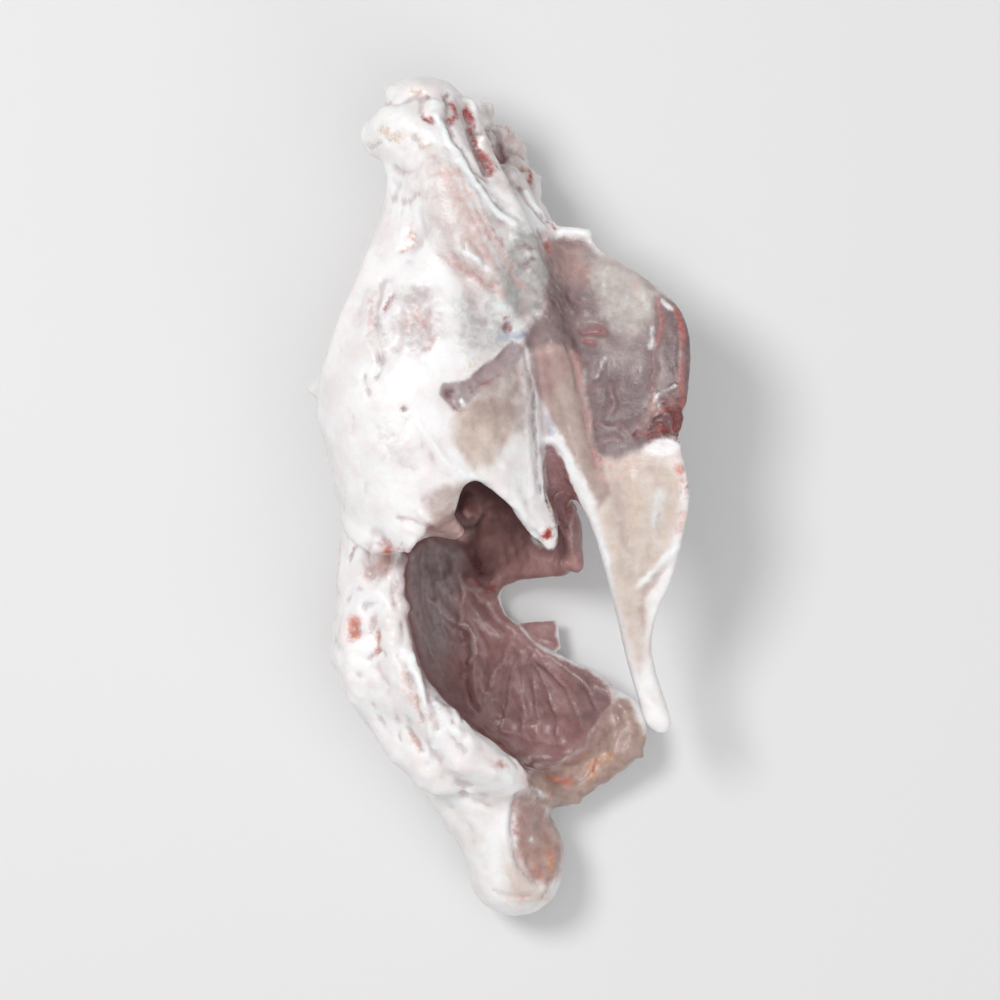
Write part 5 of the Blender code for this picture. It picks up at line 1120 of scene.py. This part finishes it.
# Layers of the flesh material, from the lowest up, tissues with painted shade and highlights among them: mask,
# two colours, grain of the colour change in millimetres, and how much the edge is broken up
LAYERS = (
    ("cream", "#c9b7ab", "#d6c7bc", 4.0, 0.2),
    ("rosy", "#ab968f", "#b9a69f", 4.0, 0.25),
    ("glassy", "#a6a4a2", "#b9b7b4", 2.4, 0.3),
    ("fat", "#a3877f", "#b79f94", 4.0, 0.3),
    ("mauve", "#a9857d", "#b8998f", 4.0, 0.3),
    ("plate", "#867475", "#998885", 4.0, 0.25),
    ("membrane", "#906a69", "#a27d7b", 4.0, 0.2),
    ("flush", "#bd908d", "#cba19c", 4.0, 0.25),
    # Greyish film, and painted shade along the side of the hip cord
    ("veil_and_shade", "#a4979a", "#b5a6a5", 2.4, 0.3),
    ("bluish", "#b0b9c4", "#c2c9d0", 2.4, 0.25),
    ("film", "#bdb4af", "#ccc4bf", 4.0, 0.35),
    ("lean", "#a3837f", "#b29590", 4.0, 0.3),
    # Painted shade for grooves and hollows
    ("soft_shade", "#6b5557", "#7b6566", 2.4, 0.25),
    # Dark red torn flesh, and painted shade in the gap beside the prong
    ("torn_and_gap_shade", "#653a39", "#7d4a47", 1.2, 0.4),
    ("pink", "#d0a098", "#deb8b0", 2.4, 0.45),
    ("blush", "#a5625e", "#b97f79", 2.4, 0.45),
    # White sinew and gristle, and painted highlights
    ("sinew_and_highlight", "#f6f7f7", "#e9edef", 2.4, 0.25),
    ("pale", "#c3a8a6", "#d3bfbb", 1.2, 0.3),
    ("coral", "#d67f70", "#cf8d70", 1.2, 0.45),
    ("ochre", "#c99a74", "#dcb693", 1.2, 0.45),
    ("blood", "#98302d", "#b14e49", 1.2, 0.45),
    # Painted shade, dark red, for pits, holes, slits and grooves
    ("pit_shade", "#45282b", "#684246", 1.2, 0.3),
)


def raw_poultry_flesh():
    """Skinless raw poultry, rinsed and wet: milky and slightly see-through, with a thin shiny film of water, and
    painted shade and highlights in its colour.
    """
    material = bpy.data.materials.new("raw_poultry_flesh")
    material.use_nodes = True
    tree = material.node_tree
    tree.nodes.clear()
    place = node(tree, "ShaderNodeTexCoord").outputs["Object"]

    def grain(size, detail=3.0, rough=0.55, bend=0.0):
        made = node(tree, "ShaderNodeTexNoise", Vector=place, Scale=1 / (size * MM), Detail=detail, Roughness=rough, Distortion=bend)
        return made.outputs["Fac"]

    def mixed(factor, a, b):
        made = node(tree, "ShaderNodeMix", {"data_type": "RGBA"}, Factor=factor)
        for socket, value in ((made.inputs[6], a), (made.inputs[7], b)):
            if isinstance(value, bpy.types.NodeSocket):
                tree.links.new(value, socket)
            else:
                socket.default_value = linear(value)
        return made.outputs[2]

    def stepped(value, low, high, to_low=0.0, to_high=1.0):
        made = node(
            tree, "ShaderNodeMapRange", {"interpolation_type": "SMOOTHSTEP"},
            Value=value, From_Min=low, From_Max=high, To_Min=to_low, To_Max=to_high,
        )
        return made.outputs["Result"]

    def combined(operation, a, b):
        return node(tree, "ShaderNodeMath", {"operation": operation}, i0=a, i1=b).outputs[0]

    # Blotches of thinner and thicker milky membrane over the muscle
    blotch = grain(11, 4, 0.6)
    colour = mixed(stepped(blotch, 0.35, 0.68), "#f3f2f2", "#e9e3e2")
    speckle = grain(2.2, 4, 0.65)
    colour = mixed(stepped(speckle, 0.58, 0.8, 0, 0.3), colour, "#e6d3cf")
    grains = {size: (grain(size, 3, 0.6, 0.4), grain(size * 0.8, 3, 0.55)) for size in GRAIN_SIZES}
    for name, first, second, size, broken in LAYERS:
        edge_grain, colour_grain = grains[size]
        mask = node(tree, "ShaderNodeAttribute", {"attribute_name": name}).outputs["Fac"]
        shift = stepped(edge_grain, 0.25, 0.75, -0.5 * broken, 0.5 * broken)
        factor = stepped(combined("ADD", mask, combined("MULTIPLY", shift, stepped(mask, 0.0, 0.3))), 0.04, 0.92)
        tissue = mixed(stepped(colour_grain, 0.3, 0.7), first, second)
        colour = mixed(factor, colour, tissue)
    # Painted shade: the colour darkened towards mauve in dents and creases
    crease_shade = node(tree, "ShaderNodeAttribute", {"attribute_name": "crease_shade"}).outputs["Fac"]
    colour = mixed(combined("MULTIPLY", crease_shade, 0.4), colour, "#a9878a")

    # Skin of water: roughness in soft patches, a fine bump, and a shiny coat that is thinner over the plate
    wet = stepped(grain(5, 3), 0.3, 0.7, 0.3, 0.5)
    fine = grain(0.9, 4, 0.6)
    pores = grain(2.6, 5, 0.62)
    height = combined("ADD", combined("MULTIPLY", fine, 0.35), pores)
    bump = node(tree, "ShaderNodeBump", Height=height, Strength=0.5, Distance=0.35 * MM).outputs["Normal"]
    thin = node(tree, "ShaderNodeAttribute", {"attribute_name": "plate"}).outputs["Fac"]
    film = stepped(thin, 0.2, 0.9, 0.42, 0.12)
    shader = node(
        tree, "ShaderNodeBsdfPrincipled",
        Base_Color=colour, Roughness=wet, Normal=bump, IOR=1.4,
        Subsurface_Weight=0.35, Subsurface_Radius=(1.0, 0.42, 0.3), Subsurface_Scale=0.0022,
        Coat_Weight=film, Coat_Roughness=0.13, Coat_IOR=1.33, Coat_Normal=bump,
    )
    node(tree, "ShaderNodeOutputMaterial", Surface=shader.outputs["BSDF"])
    return material


def pale_table():
    """Matt painted board, so that the carcass casts only a soft shadow."""
    material = bpy.data.materials.new("matt_white_board")
    material.use_nodes = True
    shader = material.node_tree.nodes["Principled BSDF"]
    shader.inputs["Base Color"].default_value = linear("#e2e2e2")
    shader.inputs["Roughness"].default_value = 0.85
    return material


def floor():
    bpy.ops.object.select_all(action="DESELECT")
    bpy.ops.mesh.primitive_plane_add(size=6, location=(0, 0, 0))
    board = bpy.context.view_layer.objects.active
    board.name = "floor"
    board.data.materials.append(pale_table())


def soft_light(name, place, aim, size, power, colour):
    light = bpy.data.lights.new(name, "AREA")
    light.shape = "DISK"
    light.size = size
    light.energy = power
    light.color = linear(colour)[:3]
    lamp = bpy.data.objects.new(name, light)
    bpy.context.scene.collection.objects.link(lamp)
    lamp.location = place
    lamp.rotation_euler = (Vector(aim) - Vector(place)).to_track_quat("-Z", "Y").to_euler()


def studio():
    """A large soft window from the upper left, a weak fill from the right and an even pale surround."""
    soft_light("window", (-0.5, 0.3, 1.12), (0, 0, 0.02), 0.42, 7.6, "#ffffff")
    soft_light("overhead", (0.1, -0.1, 1.5), (0, 0, 0), 1.4, 4.6, "#ffffff")
    soft_light("fill", (0.7, -0.7, 0.8), (0, 0, 0.02), 0.9, 2.2, "#fbfcff")
    world = bpy.data.worlds.new("studio")
    bpy.context.scene.world = world
    world.use_nodes = True
    background = world.node_tree.nodes["Background"]
    background.inputs["Color"].default_value = linear("#fafafa")
    background.inputs["Strength"].default_value = 0.43
    view = bpy.context.scene.view_settings
    view.view_transform = "Standard"
    view.look = "None"


def camera():
    """Straight down, with a long lens, so that the outline is that of the plan."""
    lens = bpy.data.cameras.new("camera")
    lens.lens = 220
    lens.sensor_width = 36
    eye = bpy.data.objects.new("camera", lens)
    bpy.context.scene.collection.objects.link(eye)
    eye.location = (0, 0, 0.035 + 0.277 * 220 / 36)
    bpy.context.scene.camera = eye


def main():
    flesh = fine_copy()
    sculpt(flesh)
    paint(flesh)
    only(flesh)
    bpy.ops.object.shade_smooth()
    flesh.data.materials.append(raw_poultry_flesh())
    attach(flesh, "root")
    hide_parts("carcass")
    floor()
    studio()
    camera()
    flesh.data.calc_loop_triangles()
    print("flesh triangles", len(flesh.data.loop_triangles))


main()
